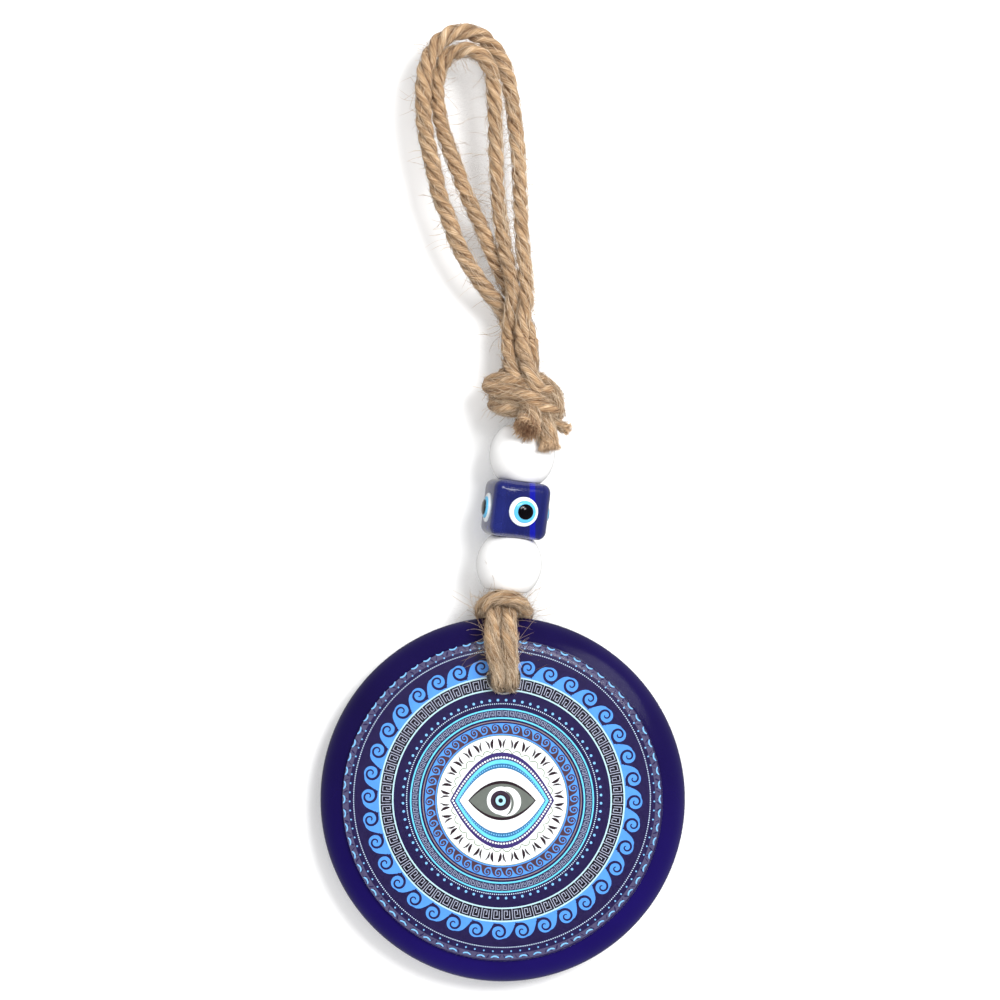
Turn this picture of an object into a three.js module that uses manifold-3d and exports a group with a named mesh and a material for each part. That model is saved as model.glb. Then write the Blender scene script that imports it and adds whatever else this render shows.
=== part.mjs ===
// Evil eye wall ornament: a printed cobalt glass disc hung from one doubled length of natural twine,
// with two white beads and a square eye bead above it.
// Millimetres, +Z up, front towards -Y, back towards the wall at +Y.
// The origin is the inside top of the hanging loop, where a nail or hook carries the ornament.
import * as THREE from 'three';
import { mergeVertices } from 'three/addons/utils/BufferGeometryUtils.js';
import { RoundedBoxGeometry } from 'three/addons/geometries/RoundedBoxGeometry.js';
import Module from 'manifold-3d';

// The glass disc, its printed layer and the clear dome over the print
const discRadius = 40;
const discThickness = 5;
const discBackRadius = 38.4;
const discCentreX = 7.8;
const discCentreZ = -162.2;
const discBackY = 4;
const printRadius = 34.9;
const printThickness = 0.2;
const domeThickness = 1;
const domeEdgeThickness = 0.15;
const layerGap = 0.3;
const holeRadius = 3.75;
const holeAboveCentre = 26.9;
const holeRightOfCentre = 0.2;
const discSegments = 64;

// The bead string: its lower bead's centre, its lean from upright, and the beads on it
const stringFoot = [9.2, 0, -110.6];
const stringLeanDeg = 6.8;
const beadRadius = 7.2;
const beadHalfHeight = 5.75;
const beadLandRadius = 4.6;
const boreRadius = 3;
const cubeSize = 12.6;
const cubeHeight = 12;
const cubeEdgeRadius = 2;
const cubeYawDeg = 12;
const stackGap = 0.3;
const beadSegments = 32;

// The eyes on the four sides of the square bead: discs of glass laid one on another
const eyeDiscs = [
  { name: 'white', radius: 3.25, from: 0.15, to: 0.75, shift: 0, colour: 0xf4f6f6 },
  { name: 'blue', radius: 2.2, from: 0.9, to: 1.15, shift: 0.3, colour: 0x62bfe8 },
  { name: 'pupil', radius: 1.6, from: 1.3, to: 1.55, shift: 0.35, colour: 0x0c0c10 },
];
const eyeSides = ['front', 'right', 'back', 'left'];

// The twine, and how close its two halves lie inside the beads
const twineRadius = 1.35;
const twineInBeadRadius = 1.25;
const twineInBeadOffset = 1.45;
const twineSides = 8;

// The knot under the loops: bands of twine round a core, and the two cut ends below it
const knotCentre = [12.5, 0, -73.2];
const knotSlantDeg = 23;
const tailTopRadius = 1.5;

const glassBlue = new THREE.MeshStandardMaterial({ color: 0x1c1466, roughness: 0.08, metalness: 0 });
const printInk = new THREE.MeshStandardMaterial({ color: 0x3a6fb8, roughness: 0.4, metalness: 0 });
const clearResin = new THREE.MeshStandardMaterial({ color: 0xe8f0ff, roughness: 0.04, metalness: 0 });
const beadWhite = new THREE.MeshStandardMaterial({ color: 0xf5f4f2, roughness: 0.15, metalness: 0 });
const twineTan = new THREE.MeshStandardMaterial({ color: 0xba9a76, roughness: 0.95, metalness: 0 });

const group = new THREE.Group();

function place(name, geometry, material, parent = group) {
  const mesh = new THREE.Mesh(geometry, material.clone());
  mesh.name = name;
  parent.add(mesh);
  return mesh;
}

// ---- Joining and cutting ----

const wasm = await Module();
wasm.setup();

function toSolid(geometry) {
  const bare = geometry.clone();
  bare.deleteAttribute('normal');
  bare.deleteAttribute('uv');
  const merged = mergeVertices(bare, 1e-4);
  const mesh = new wasm.Mesh({
    numProp: 3,
    vertProperties: Float32Array.from(merged.attributes.position.array),
    triVerts: Uint32Array.from(merged.index.array),
  });
  return new wasm.Manifold(mesh);
}

function toGeometry(solid) {
  const mesh = solid.getMesh();
  const geometry = new THREE.BufferGeometry();
  geometry.setAttribute('position', new THREE.BufferAttribute(mesh.vertProperties, 3));
  geometry.setIndex(new THREE.BufferAttribute(mesh.triVerts, 1));
  geometry.computeVertexNormals();
  return geometry;
}

// ---- Shared shapes ----

// A solid of revolution about its own Y axis from [radius, height] points
function turned(points, segments) {
  return new THREE.LatheGeometry(points.map(([r, h]) => new THREE.Vector2(r, h)), segments);
}

// Profile points of a quarter ellipse from one point up and in to the next, both ends included
function quarterRound([r0, h0], [r1, h1], steps) {
  const points = [];
  for (let i = 0; i <= steps; i += 1) {
    const angle = (i / steps) * (Math.PI / 2);
    points.push([r1 + (r0 - r1) * Math.cos(angle), h0 + (h1 - h0) * Math.sin(angle)]);
  }
  return points;
}

function twine(name, points, steps, parent = group, radius = twineRadius) {
  const section = new THREE.Shape();
  section.absarc(0, 0, radius, 0, Math.PI * 2, false);
  const route = new THREE.CatmullRomCurve3(points.map((p) => new THREE.Vector3(...p)));
  const geometry = new THREE.ExtrudeGeometry(section, {
    steps,
    extrudePath: route,
    curveSegments: twineSides / 2,
    bevelEnabled: false,
  });
  return place(name, geometry, twineTan, parent);
}

// ---- The glass disc, its print and its dome ----

const holeCutter = toSolid(
  new THREE.CylinderGeometry(holeRadius, holeRadius, 30, 32).translate(holeRightOfCentre, 0, -holeAboveCentre),
);

// Each layer is turned about its own axis, drilled for the twine, and stands with its face to the front
function discLayer(name, profile, backY, material) {
  const drilled = toSolid(turned(profile, discSegments)).subtract(holeCutter);
  const layer = place(name, toGeometry(drilled), material);
  layer.rotation.x = Math.PI;
  layer.position.set(discCentreX, backY, discCentreZ);
}

discLayer('glass_disc', [
  [0, 0],
  [13, 0],
  [discBackRadius, 0],
  ...quarterRound([discBackRadius + 0.9, 0.3], [discRadius, 1.3], 1),
  [discRadius, 2.1],
  [39.4, 2.9],
  [37.6, 3.7],
  [printRadius + 0.5, 4.4],
  [printRadius, discThickness],
  [0, discThickness],
], discBackY, glassBlue);

const printBackY = discBackY - discThickness - layerGap;
discLayer('printed_layer', [
  [0, 0],
  [printRadius, 0],
  [printRadius, printThickness],
  [0, printThickness],
], printBackY, printInk);

const domeBackY = printBackY - printThickness - layerGap;
discLayer('clear_dome', [
  [0, 0],
  [printRadius, 0],
  [printRadius, domeEdgeThickness],
  ...quarterRound([printRadius - 0.1, domeEdgeThickness], [30, domeThickness], 4).slice(1),
  [0, domeThickness],
], domeBackY, clearResin);

// ---- The bead string, built upright along its own Z and then leaned ----

const beadString = new THREE.Group();
beadString.position.set(...stringFoot);
beadString.rotation.y = THREE.MathUtils.degToRad(stringLeanDeg);
group.add(beadString);

const beadStep = beadHalfHeight + stackGap + cubeHeight / 2;
const stringBottom = -beadHalfHeight;
const stringTop = 2 * beadStep + beadHalfHeight;

function whiteBead(name, centreHeight) {
  const side = quarterRound([beadRadius, 0], [0, beadRadius], 8)
    .filter(([r]) => r > beadLandRadius)
    .map(([r, h]) => [r, h * (beadHalfHeight / Math.sqrt(beadRadius ** 2 - beadLandRadius ** 2))]);
  const lower = side.slice(1).map(([r, h]) => [r, -h]).reverse();
  const profile = [
    [boreRadius, -beadHalfHeight],
    [beadLandRadius, -beadHalfHeight],
    ...lower,
    ...side,
    [beadLandRadius, beadHalfHeight],
    [boreRadius, beadHalfHeight],
    [boreRadius, -beadHalfHeight],
  ];
  const bead = place(name, turned(profile, beadSegments), beadWhite, beadString);
  bead.rotation.x = Math.PI / 2;
  bead.position.z = centreHeight;
}

whiteBead('lower_bead', 0);
whiteBead('upper_bead', 2 * beadStep);

const cube = new THREE.Group();
cube.position.z = beadStep;
cube.rotation.z = THREE.MathUtils.degToRad(cubeYawDeg);
beadString.add(cube);

const cubeBlock = toSolid(new RoundedBoxGeometry(cubeSize, cubeSize, cubeHeight, 2, cubeEdgeRadius));
const cubeBore = toSolid(
  new THREE.CylinderGeometry(boreRadius, boreRadius, cubeHeight * 2, 24).rotateX(Math.PI / 2),
);
place('cube_bead', toGeometry(cubeBlock.subtract(cubeBore)), glassBlue, cube);

eyeSides.forEach((side, sideIndex) => {
  const eye = new THREE.Group();
  eye.rotation.z = (sideIndex * Math.PI) / 2;
  cube.add(eye);
  for (const disc of eyeDiscs) {
    const colour = new THREE.MeshStandardMaterial({ color: disc.colour, roughness: 0.1 });
    const profile = [
      [0, disc.from],
      [disc.radius, disc.from],
      [disc.radius * 0.95, disc.to - 0.1],
      [disc.radius * 0.7, disc.to],
      [0, disc.to],
    ];
    const layer = place(`eye_${disc.name}_${side}`, turned(profile, 16), colour, eye);
    layer.rotation.x = Math.PI;
    layer.position.set(disc.shift, -cubeSize / 2, 0);
  }
});

// The two halves of the twine, side by side through all three beads
for (const [side, sign] of [['left', -1], ['right', 1]]) {
  const x = sign * twineInBeadOffset;
  twine(`bead_twine_${side}`, [[x, 0, stringBottom], [x, 0, 8], [x, 0, 20], [x, 0, stringTop + 1]], 4,
    beadString, twineInBeadRadius);
}

// ---- The hitch that ties the twine round the disc's upper edge, and the short neck above it ----

const hitchX = 8.1;
for (const [side, sign] of [['left', -1], ['right', 1]]) {
  const at = ([x, y, z]) => [hitchX + sign * x, y, z];
  twine(`neck_twine_${side}`, [[1.7, 0, -117.2], [1.6, -0.5, -118.2], [1.6, -1.4, -119.4]].map(at), 1);
  twine(`hitch_front_${side}`, [
    [1.62, -1.7, -119.7],
    [1.8, -3.4, -121.8],
    [1.9, -4.6, -124.4],
    [1.9, -4.9, -127.5],
    [1.7, -4.9, -131],
    [1.52, -4.7, -134],
    [1.5, -3.5, -136],
    [1.5, -1.2, -136.6],
    [1.5, 0.4, -136.6],
  ].map(at), 8);
  twine(`hitch_back_${side}`, [
    [1.5, 0.75, -136.6],
    [1.5, 3.2, -136.2],
    [1.55, 5.3, -134.6],
    [1.8, 5.9, -131.5],
    [2.9, 5.9, -127.5],
    [4.2, 5.8, -124],
    [4.8, 4.9, -121.4],
    [4.9, 2.2, -120.7],
  ].map(at), 7);
}

twine('hitch_bight', [
  [-4.9, 1.6, -120.75],
  [-4.9, -0.8, -120.85],
  [-4.8, -2.4, -120.8],
  [-4.2, -3.9, -120.05],
  [-2.6, -4.7, -119.05],
  [0, -4.9, -118.55],
  [2.6, -4.7, -119.05],
  [4.2, -3.9, -120.05],
  [4.8, -2.4, -120.8],
  [4.9, -0.8, -120.85],
  [4.9, 1.6, -120.75],
].map(([x, y, z]) => [hitchX + x, y, z]), 12);

// ---- The knot and its cut ends ----

const slant = THREE.MathUtils.degToRad(knotSlantDeg);

function knotBand(radiusX, radiusY, tubeRadius, [x, y, z], turn) {
  const ring = new THREE.TorusGeometry(1, 0.3, 8, 24);
  const position = ring.attributes.position;
  for (let i = 0; i < position.count; i += 1) {
    const angle = Math.atan2(position.getY(i), position.getX(i));
    const outwards = Math.hypot(position.getX(i), position.getY(i)) - 1;
    const scale = tubeRadius / 0.3;
    position.setXYZ(
      i,
      (radiusX + outwards * scale) * Math.cos(angle),
      (radiusY + outwards * scale) * Math.sin(angle),
      position.getZ(i) * scale,
    );
  }
  return toSolid(ring.rotateY(turn).translate(x, y, z));
}

const knotCore = new THREE.SphereGeometry(1, 16, 10).scale(6.2, 4.2, 4.6);
const knotSolid = toSolid(knotCore)
  .add(knotBand(6.8, 3.9, 1.9, [0, 0, -0.6], slant))
  .add(knotBand(5.2, 3.6, 1.8, [1.9, 0, 2.4], slant))
  .add(knotBand(3.2, 3.2, 1.6, [-4.4, 0.4, -3], -slant / 2));
const knot = place('knot', toGeometry(knotSolid), twineTan);
knot.position.set(...knotCentre);

// A cut end that flares as its yarns come apart
function tail(name, from, to, endRadius) {
  const start = new THREE.Vector3(...from);
  const run = new THREE.Vector3(...to).sub(start);
  const length = run.length();
  const profile = [[0, 0], [tailTopRadius, 0], [endRadius, length * 0.8], [endRadius * 0.8, length], [0, length]];
  const end = place(name, turned(profile, 12), twineTan);
  end.quaternion.setFromUnitVectors(new THREE.Vector3(0, 1, 0), run.normalize());
  end.position.copy(start);
}

tail('tail_left', [13.1, -5.2, -77.4], [13.1, -9.5, -83.7], 2.4);
tail('tail_right', [17.2, -4.9, -79], [18, -7.6, -85.6], 2);

// ---- The four strands between the knot and the loops ----

twine('neck_strand_front', [[12.13, -1.9, -57.9], [11.9, -1.8, -61.6], [12.5, -1.7, -65], [12.8, -1.6, -66.9]], 3);
twine('neck_strand_left', [[9.25, -0.5, -57.9], [9, 0, -61.6], [9, 0, -66.9]], 3);
twine('neck_strand_back', [[9, 2.7, -57.9], [10.3, 2.9, -62], [10.9, 2.9, -66.9]], 3);
twine('neck_strand_right', [[12.9, 1.9, -57.9], [14, 1.5, -61.6], [14.2, 1.4, -66.9]], 3);

// ---- The two hanging loops: both halves of the twine, folded back into the knot ----

const loopSteps = 30;

twine('loop_outer', [
  [8.7, 2.6, -57.5],
  [7.7, 2.3, -54.8],
  [6.4, 1.6, -53.1],
  [4.6, 0.9, -51.1],
  [2.1, 0.2, -47.8],
  [-0.7, -0.3, -43.3],
  [-2.7, -0.6, -39.1],
  [-4, -0.8, -35.2],
  [-5.7, -0.9, -31],
  [-7.6, -1, -23],
  [-9, -1.1, -16.8],
  [-9.5, -1.2, -11.4],
  [-9.5, -1.4, -6.3],
  [-8.7, -1.3, -1.3],
  [-6.5, -0.6, 2.9],
  [-3.7, 0.2, 5.2],
  [-0.9, 0.8, 5.9],
  [2.4, 1.3, 5.3],
  [5.2, 1.7, 3.1],
  [7.2, 1.8, 0.4],
  [8.6, 1.9, -3.1],
  [9.4, 1.8, -6.6],
  [10.5, 1.2, -14.6],
  [11.3, 0.6, -23],
  [11.6, 0, -31],
  [11.8, -0.4, -36.5],
  [12.2, -0.8, -41.5],
  [12.6, -1.2, -46.6],
  [13, -1.7, -51.2],
  [12.8, -1.9, -54.7],
  [12.2, -1.9, -57.5],
], loopSteps);

twine('loop_inner', [
  [12.7, 2, -57.5],
  [11.6, 2.2, -55.1],
  [10.1, 2.3, -52.2],
  [8.5, 2.1, -49.2],
  [7.1, 1.5, -46.1],
  [5.2, 0.7, -42.2],
  [3.7, 0.3, -38.3],
  [2.1, 0.1, -34.7],
  [0.4, 0.1, -31],
  [-2.7, 0.3, -23],
  [-4.8, 0.7, -17.3],
  [-5.9, 1.2, -13.1],
  [-6.6, 1.6, -8.7],
  [-6.6, 1.7, -5.7],
  [-6.1, 1.4, -2.6],
  [-4.6, 0.6, 0],
  [-2.2, -0.4, 1.4],
  [0.4, -1.1, 1.6],
  [2.8, -1.5, 0.6],
  [4.6, -1.7, -1.7],
  [5.6, -1.7, -4.8],
  [6, -1.3, -9.2],
  [6.1, -0.8, -14.6],
  [6.4, -0.4, -23],
  [6.8, -0.4, -31],
  [7.4, -0.6, -36.6],
  [8.2, -0.9, -41.6],
  [9.3, -1.1, -46.1],
  [10.1, -1.1, -50.5],
  [9.9, -0.8, -54.2],
  [9.3, -0.6, -57.5],
], loopSteps);

export default group;
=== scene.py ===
import math
import random

import bmesh
import bpy
from mathutils import Matrix, Vector, noise


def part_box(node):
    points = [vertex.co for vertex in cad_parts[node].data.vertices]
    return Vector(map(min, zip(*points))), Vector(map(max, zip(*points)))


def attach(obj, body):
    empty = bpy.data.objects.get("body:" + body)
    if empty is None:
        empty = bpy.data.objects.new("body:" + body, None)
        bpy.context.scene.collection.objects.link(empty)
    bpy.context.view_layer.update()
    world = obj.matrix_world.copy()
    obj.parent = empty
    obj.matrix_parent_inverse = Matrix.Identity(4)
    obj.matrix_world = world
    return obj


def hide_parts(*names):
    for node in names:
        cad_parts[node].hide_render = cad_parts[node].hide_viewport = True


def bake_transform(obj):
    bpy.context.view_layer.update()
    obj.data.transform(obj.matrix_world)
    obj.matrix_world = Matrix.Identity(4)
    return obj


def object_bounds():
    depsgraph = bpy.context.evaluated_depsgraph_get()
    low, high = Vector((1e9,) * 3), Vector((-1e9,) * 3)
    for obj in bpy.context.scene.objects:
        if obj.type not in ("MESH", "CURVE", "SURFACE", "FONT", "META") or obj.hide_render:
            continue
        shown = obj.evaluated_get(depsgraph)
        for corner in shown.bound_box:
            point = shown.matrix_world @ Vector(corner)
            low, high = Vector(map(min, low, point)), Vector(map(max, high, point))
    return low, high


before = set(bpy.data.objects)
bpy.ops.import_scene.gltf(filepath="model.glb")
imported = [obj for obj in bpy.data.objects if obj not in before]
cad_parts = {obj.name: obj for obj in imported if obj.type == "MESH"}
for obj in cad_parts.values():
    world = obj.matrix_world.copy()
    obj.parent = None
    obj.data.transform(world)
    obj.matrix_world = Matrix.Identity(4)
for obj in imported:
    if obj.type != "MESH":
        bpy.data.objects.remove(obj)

# Evil eye ornament. Metres, Z up, front towards -Y. The origin is the inside top of the hanging loop.

cadLow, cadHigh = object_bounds()
mm = 0.001
fullTurn = 2 * math.pi


def centreOf(node):
    low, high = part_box(node)
    return (low + high) / 2


def rgb(red, green, blue):
    # screen values from 0 to 255, made linear for a colour socket
    channels = []
    for value in (red, green, blue):
        share = value / 255
        channels.append(share / 12.92 if share <= 0.04045 else ((share + 0.055) / 1.055) ** 2.4)
    return (*channels, 1)


# helpers that join shader nodes; a value is another node's output or a plain setting

def feed(tree, value, socket):
    if isinstance(value, bpy.types.NodeSocket):
        tree.links.new(value, socket)
    else:
        socket.default_value = value


def addNode(tree, kind, *values, **settings):
    # values feed the sockets in turn; settings are the node's own
    node = tree.nodes.new("ShaderNode" + kind)
    for label, setting in settings.items():
        setattr(node, label, setting)
    for value, socket in zip(values, node.inputs):
        feed(tree, value, socket)
    return node


def spread(tree, value, *limits, smooth=False):
    # carries a value from one range on to another
    kind = "SMOOTHSTEP" if smooth else "LINEAR"
    return addNode(tree, "MapRange", value, *limits, interpolation_type=kind).outputs["Result"]


def blendOf(tree, factor, first, second, kind="RGBA"):
    node = addNode(tree, "Mix", factor, data_type=kind)
    feed(tree, first, node.inputs["A"])
    feed(tree, second, node.inputs["B"])
    return node.outputs["Result"]


def addNoise(tree, vector, scale, detail=2.0, roughness=0.5):
    node = addNode(tree, "TexNoise", vector)
    for label, value in (("Scale", scale), ("Detail", detail), ("Roughness", roughness)):
        feed(tree, value, node.inputs[label])
    return node.outputs["Fac"]


def addBump(tree, height, strength, distance, *sockets):
    bump = addNode(tree, "Bump", strength, distance)
    feed(tree, height, bump.inputs["Height"])
    for socket in sockets:
        feed(tree, bump.outputs[0], socket)


# camera and light

view = {
    "distance": 0.607,
    "lens": 100,
    "centreX": 0.00721,
    "centreZ": -0.0966,
}

light = {
    "skyForDull": 0.86,
    "skyForGlossFront": 0.012,
    "skyForGlossBack": 0.45,
    "skyTurn": (-0.75, 0.25),
    # lamps that only shiny surfaces see: direction, radius in degrees, radiance
    "glints": [
        ((0.02, -0.905, 0.42), 8.5, 5.0),
        ((0.22, -0.90, 0.36), 3.0, 15.0),
        ((0.34, -0.90, 0.22), 4.0, 5.0),
    ],
    "keyFrom": (0.34, -0.62, 0.24),
    "keySize": 0.34,
    "keyPower": 5.9,
    "wallTone": 0.9,
    "wallGlow": 0.15,
    "contactReach": 14 * mm,
    "contactShare": (0.03, 0.42),
    "contactShade": 0.03,
    "wallGap": 0.9 * mm,
    "floorDrop": 34 * mm,
    "wallBend": 20 * mm,
    # width, top and how far forward the floor comes
    "wallSize": (3, 1.2, -1.2),
}


def addCamera():
    camera = bpy.data.cameras.new("frontCamera")
    camera.lens = view["lens"]
    camera.clip_start = 0.01
    holder = bpy.data.objects.new("frontCamera", camera)
    holder.location = (view["centreX"], -view["distance"], view["centreZ"])
    holder.rotation_euler = (math.radians(90), 0, 0)
    bpy.context.scene.collection.objects.link(holder)
    bpy.context.scene.camera = holder
    bpy.context.scene.view_settings.view_transform = "Standard"


def addSky():
    sky = bpy.data.worlds.new("studioSky")
    bpy.context.scene.world = sky
    sky.use_nodes = True
    sky.cycles.sampling_method = "NONE"
    tree = sky.node_tree
    tree.nodes.clear()
    path = addNode(tree, "LightPath")
    where = addNode(tree, "TexCoord")
    split = addNode(tree, "SeparateXYZ", where.outputs["Generated"])
    # shiny surfaces see a dark room in front and the pale wall behind
    gloss = spread(tree, split.outputs["Y"], *light["skyTurn"], light["skyForGlossFront"],
                   light["skyForGlossBack"], smooth=True)
    pick = blendOf(tree, path.outputs["Is Glossy Ray"], light["skyForDull"], gloss, "FLOAT")
    seen = blendOf(tree, path.outputs["Is Camera Ray"], pick, 1.0, "FLOAT")
    back = addNode(tree, "Background", (1, 1, 1, 1), seen)
    addNode(tree, "OutputWorld", back.outputs[0])


def addLamp(name, place, target, size, power):
    lamp = bpy.data.lights.new(name, "AREA")
    lamp.shape = "DISK"
    lamp.size = size
    lamp.energy = power
    holder = bpy.data.objects.new(name, lamp)
    holder.location = place
    holder.rotation_mode = "QUATERNION"
    holder.rotation_quaternion = (target - place).to_track_quat("-Z", "Y")
    holder.visible_camera = False
    bpy.context.scene.collection.objects.link(holder)
    return holder


def addLamps():
    middle = (cadLow + cadHigh) / 2
    key = addLamp("keyLight", middle + Vector(light["keyFrom"]), middle, light["keySize"], light["keyPower"])
    key.visible_glossy = False
    target = centreOf("glass_disc")
    for number, (direction, radius, radiance) in enumerate(light["glints"]):
        # one metre away, so its radius in metres is the tangent of its angle
        size = 2 * math.tan(math.radians(radius))
        power = radiance * math.pi * math.pi * (size / 2) ** 2
        lamp = addLamp(f"glint{number + 1}", target + Vector(direction).normalized(), target, size, power)
        lamp.visible_diffuse = False
        lamp.visible_transmission = False


def wallMaterial():
    material = bpy.data.materials.new("paleWall")
    material.use_nodes = True
    tree = material.node_tree
    tree.nodes.clear()
    # painted shade: the wall's colour and glow darken by ambient occlusion where the ornament lies close over
    # it
    cover = addNode(tree, "AmbientOcclusion", samples=2)
    cover.inputs["Distance"].default_value = light["contactReach"]
    shade = spread(tree, cover.outputs["AO"], *light["contactShare"], light["contactShade"], 1, smooth=True)
    tone = addNode(tree, "Math", shade, light["wallTone"], operation="MULTIPLY")
    dull = addNode(tree, "BsdfDiffuse", tone.outputs[0])
    faint = addNode(tree, "Math", shade, light["wallGlow"], operation="MULTIPLY")
    glow = addNode(tree, "Emission", (1, 1, 1, 1), faint.outputs[0])
    lit = addNode(tree, "AddShader", dull.outputs[0], glow.outputs[0])
    # only the camera's view of its front meets the wall, so that it never shades the ornament's back
    path = addNode(tree, "LightPath")
    side = addNode(tree, "NewGeometry")
    front = addNode(tree, "Math", path.outputs["Is Camera Ray"], side.outputs["Backfacing"],
                    operation="SUBTRACT", use_clamp=True)
    clear = addNode(tree, "BsdfTransparent")
    mix = addNode(tree, "MixShader", front.outputs[0], clear.outputs[0], lit.outputs[0])
    addNode(tree, "OutputMaterial", mix.outputs[0])
    return material


def addBackdrop():
    # a pale wall close behind that curves forward into the floor
    wallY = cadHigh.y + light["wallGap"]
    floorZ = cadLow.z - light["floorDrop"]
    bend = light["wallBend"]
    width, wallTop, floorFront = light["wallSize"]
    outline = [(wallY, wallTop), (wallY, floorZ + bend)]
    for step in range(1, 9):
        angle = step / 8 * math.pi / 2
        outline.append((wallY - bend + bend * math.cos(angle), floorZ + bend - bend * math.sin(angle)))
    outline.append((floorFront, floorZ))
    bm = bmesh.new()
    points = [bm.verts.new((-width / 2, y, z)) for y, z in outline]
    edges = [bm.edges.new(pair) for pair in zip(points, points[1:])]
    made = bmesh.ops.extrude_edge_only(bm, edges=edges)
    moved = [item for item in made["geom"] if isinstance(item, bmesh.types.BMVert)]
    bmesh.ops.translate(bm, vec=(width, 0, 0), verts=moved)
    bmesh.ops.reverse_faces(bm, faces=bm.faces)
    mesh = bpy.data.meshes.new("backdrop")
    bm.to_mesh(mesh)
    bm.free()
    mesh.shade_smooth()
    mesh.materials.append(wallMaterial())
    backdrop = bpy.data.objects.new("backdrop", mesh)
    bpy.context.scene.collection.objects.link(backdrop)


addCamera()
addSky()
addLamps()
addBackdrop()
print("camera, lights and backdrop are in place")


# shared shader groups and materials

def newGroup(name, ins, outs):
    group = bpy.data.node_groups.new(name, "ShaderNodeTree")
    for label, kind in ins:
        group.interface.new_socket(label, in_out="INPUT", socket_type=kind)
    for label, kind in outs:
        group.interface.new_socket(label, in_out="OUTPUT", socket_type=kind)
    start = group.nodes.new("NodeGroupInput")
    end = group.nodes.new("NodeGroupOutput")
    return group, start, end


def mottleGroup():
    # soft noise that darkens and lightens a colour a little
    tree, start, end = newGroup(
        "mottle",
        [("Vector", "NodeSocketVector"), ("Color", "NodeSocketColor"), ("Scale", "NodeSocketFloat"),
         ("Amount", "NodeSocketFloat")],
        [("Color", "NodeSocketColor"), ("Height", "NodeSocketFloat")],
    )
    coarse = addNoise(tree, start.outputs["Vector"], start.outputs["Scale"], 5)
    low = addNode(tree, "Math", 1, start.outputs["Amount"], operation="SUBTRACT")
    high = addNode(tree, "Math", 1, start.outputs["Amount"], operation="ADD")
    shade = spread(tree, coarse, 0.3, 0.7, low.outputs[0], high.outputs[0])
    tint = addNode(tree, "VectorMath", start.outputs["Color"], operation="SCALE")
    feed(tree, shade, tint.inputs["Scale"])
    feed(tree, tint.outputs[0], end.inputs["Color"])
    feed(tree, coarse, end.inputs["Height"])
    return tree


fibreLook = {
    # how fine the streaks are across and along the twine, and their detail
    "fine": (3.6, 0.34, 4),
    "broad": (0.7, 0.11, 3),
    "fineShare": 0.76,
    "roughness": 0.62,
    "toneRange": (0.36, 0.64),
}


def juteGroup():
    # fibres that run along the yarns: the vector is in millimetres, x around the twine and y along it
    tree, start, end = newGroup(
        "juteFibres",
        [("Vector", "NodeSocketVector"), ("Groove", "NodeSocketFloat"), ("Dark", "NodeSocketColor"),
         ("Middle", "NodeSocketColor"), ("Light", "NodeSocketColor")],
        [("Color", "NodeSocketColor"), ("Height", "NodeSocketFloat")],
    )

    def streaks(across, along, detail):
        squeeze = addNode(tree, "VectorMath", start.outputs["Vector"], (across, along, 1),
                          operation="MULTIPLY")
        return addNoise(tree, squeeze.outputs[0], 1, detail, fibreLook["roughness"])

    fineShare = fibreLook["fineShare"]
    fine = streaks(*fibreLook["fine"])
    broad = streaks(*fibreLook["broad"])
    wide = addNode(tree, "Math", broad, 1 - fineShare, operation="MULTIPLY")
    both = addNode(tree, "Math", fine, fineShare, wide.outputs[0], operation="MULTIPLY_ADD").outputs[0]
    ramp = spread(tree, both, *fibreLook["toneRange"])
    lower = blendOf(tree, spread(tree, ramp, 0, 0.5), start.outputs["Dark"], start.outputs["Middle"])
    whole = blendOf(tree, spread(tree, ramp, 0.5, 1), lower, start.outputs["Light"])
    # painted shade: the colour goes dark deep between the yarns
    shaded = blendOf(tree, start.outputs["Groove"], whole, start.outputs["Dark"])
    feed(tree, shaded, end.inputs["Color"])
    feed(tree, both, end.inputs["Height"])
    return tree


mottle = mottleGroup()
juteFibres = juteGroup()


def newMaterial(name, roughness, **plain):
    # a Principled surface; plain holds the sockets that stay the same all over
    material = bpy.data.materials.new(name)
    material.use_nodes = True
    surface = material.node_tree.nodes["Principled BSDF"]
    surface.inputs["Roughness"].default_value = roughness
    for label, value in plain.items():
        surface.inputs[label].default_value = value
    return material, material.node_tree, surface


def placeGroup(tree, group, **values):
    node = addNode(tree, "Group", node_tree=group)
    for label, value in values.items():
        feed(tree, value, node.inputs[label])
    return node


def mottledMaterial(name, colour, roughness, scale, amount, bump=0.0, bumpDepth=0.05 * mm, **plain):
    material, tree, surface = newMaterial(name, roughness, **plain)
    where = addNode(tree, "TexCoord")
    grain = placeGroup(tree, mottle, Vector=where.outputs["Object"], Color=colour, Scale=scale, Amount=amount)
    feed(tree, grain.outputs["Color"], surface.inputs["Base Color"])
    if bump:
        addBump(tree, grain.outputs["Height"], bump, bumpDepth, surface.inputs["Normal"])
    return material


def twineMaterial(name, dark, middle, pale):
    material, tree, surface = newMaterial(name, 0.88, **{"Sheen Weight": 0.12, "Sheen Roughness": 0.6})
    lay = addNode(tree, "UVMap", uv_map="lay")
    # painted shade: the twine's colour darkens deep between its yarns
    paintedGrooveShade = addNode(tree, "Attribute", attribute_name="paintedGrooveShade")
    fibres = placeGroup(tree, juteFibres, Vector=lay.outputs[0], Groove=paintedGrooveShade.outputs["Fac"],
                        Dark=dark, Middle=middle, Light=pale)
    where = addNode(tree, "TexCoord")
    patches = placeGroup(tree, mottle, Vector=where.outputs["Object"], Color=fibres.outputs["Color"],
                         Scale=120, Amount=0.14)
    feed(tree, patches.outputs["Color"], surface.inputs["Base Color"])
    addBump(tree, fibres.outputs["Height"], 0.9, 0.5 * mm, surface.inputs["Normal"])
    return material


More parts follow.
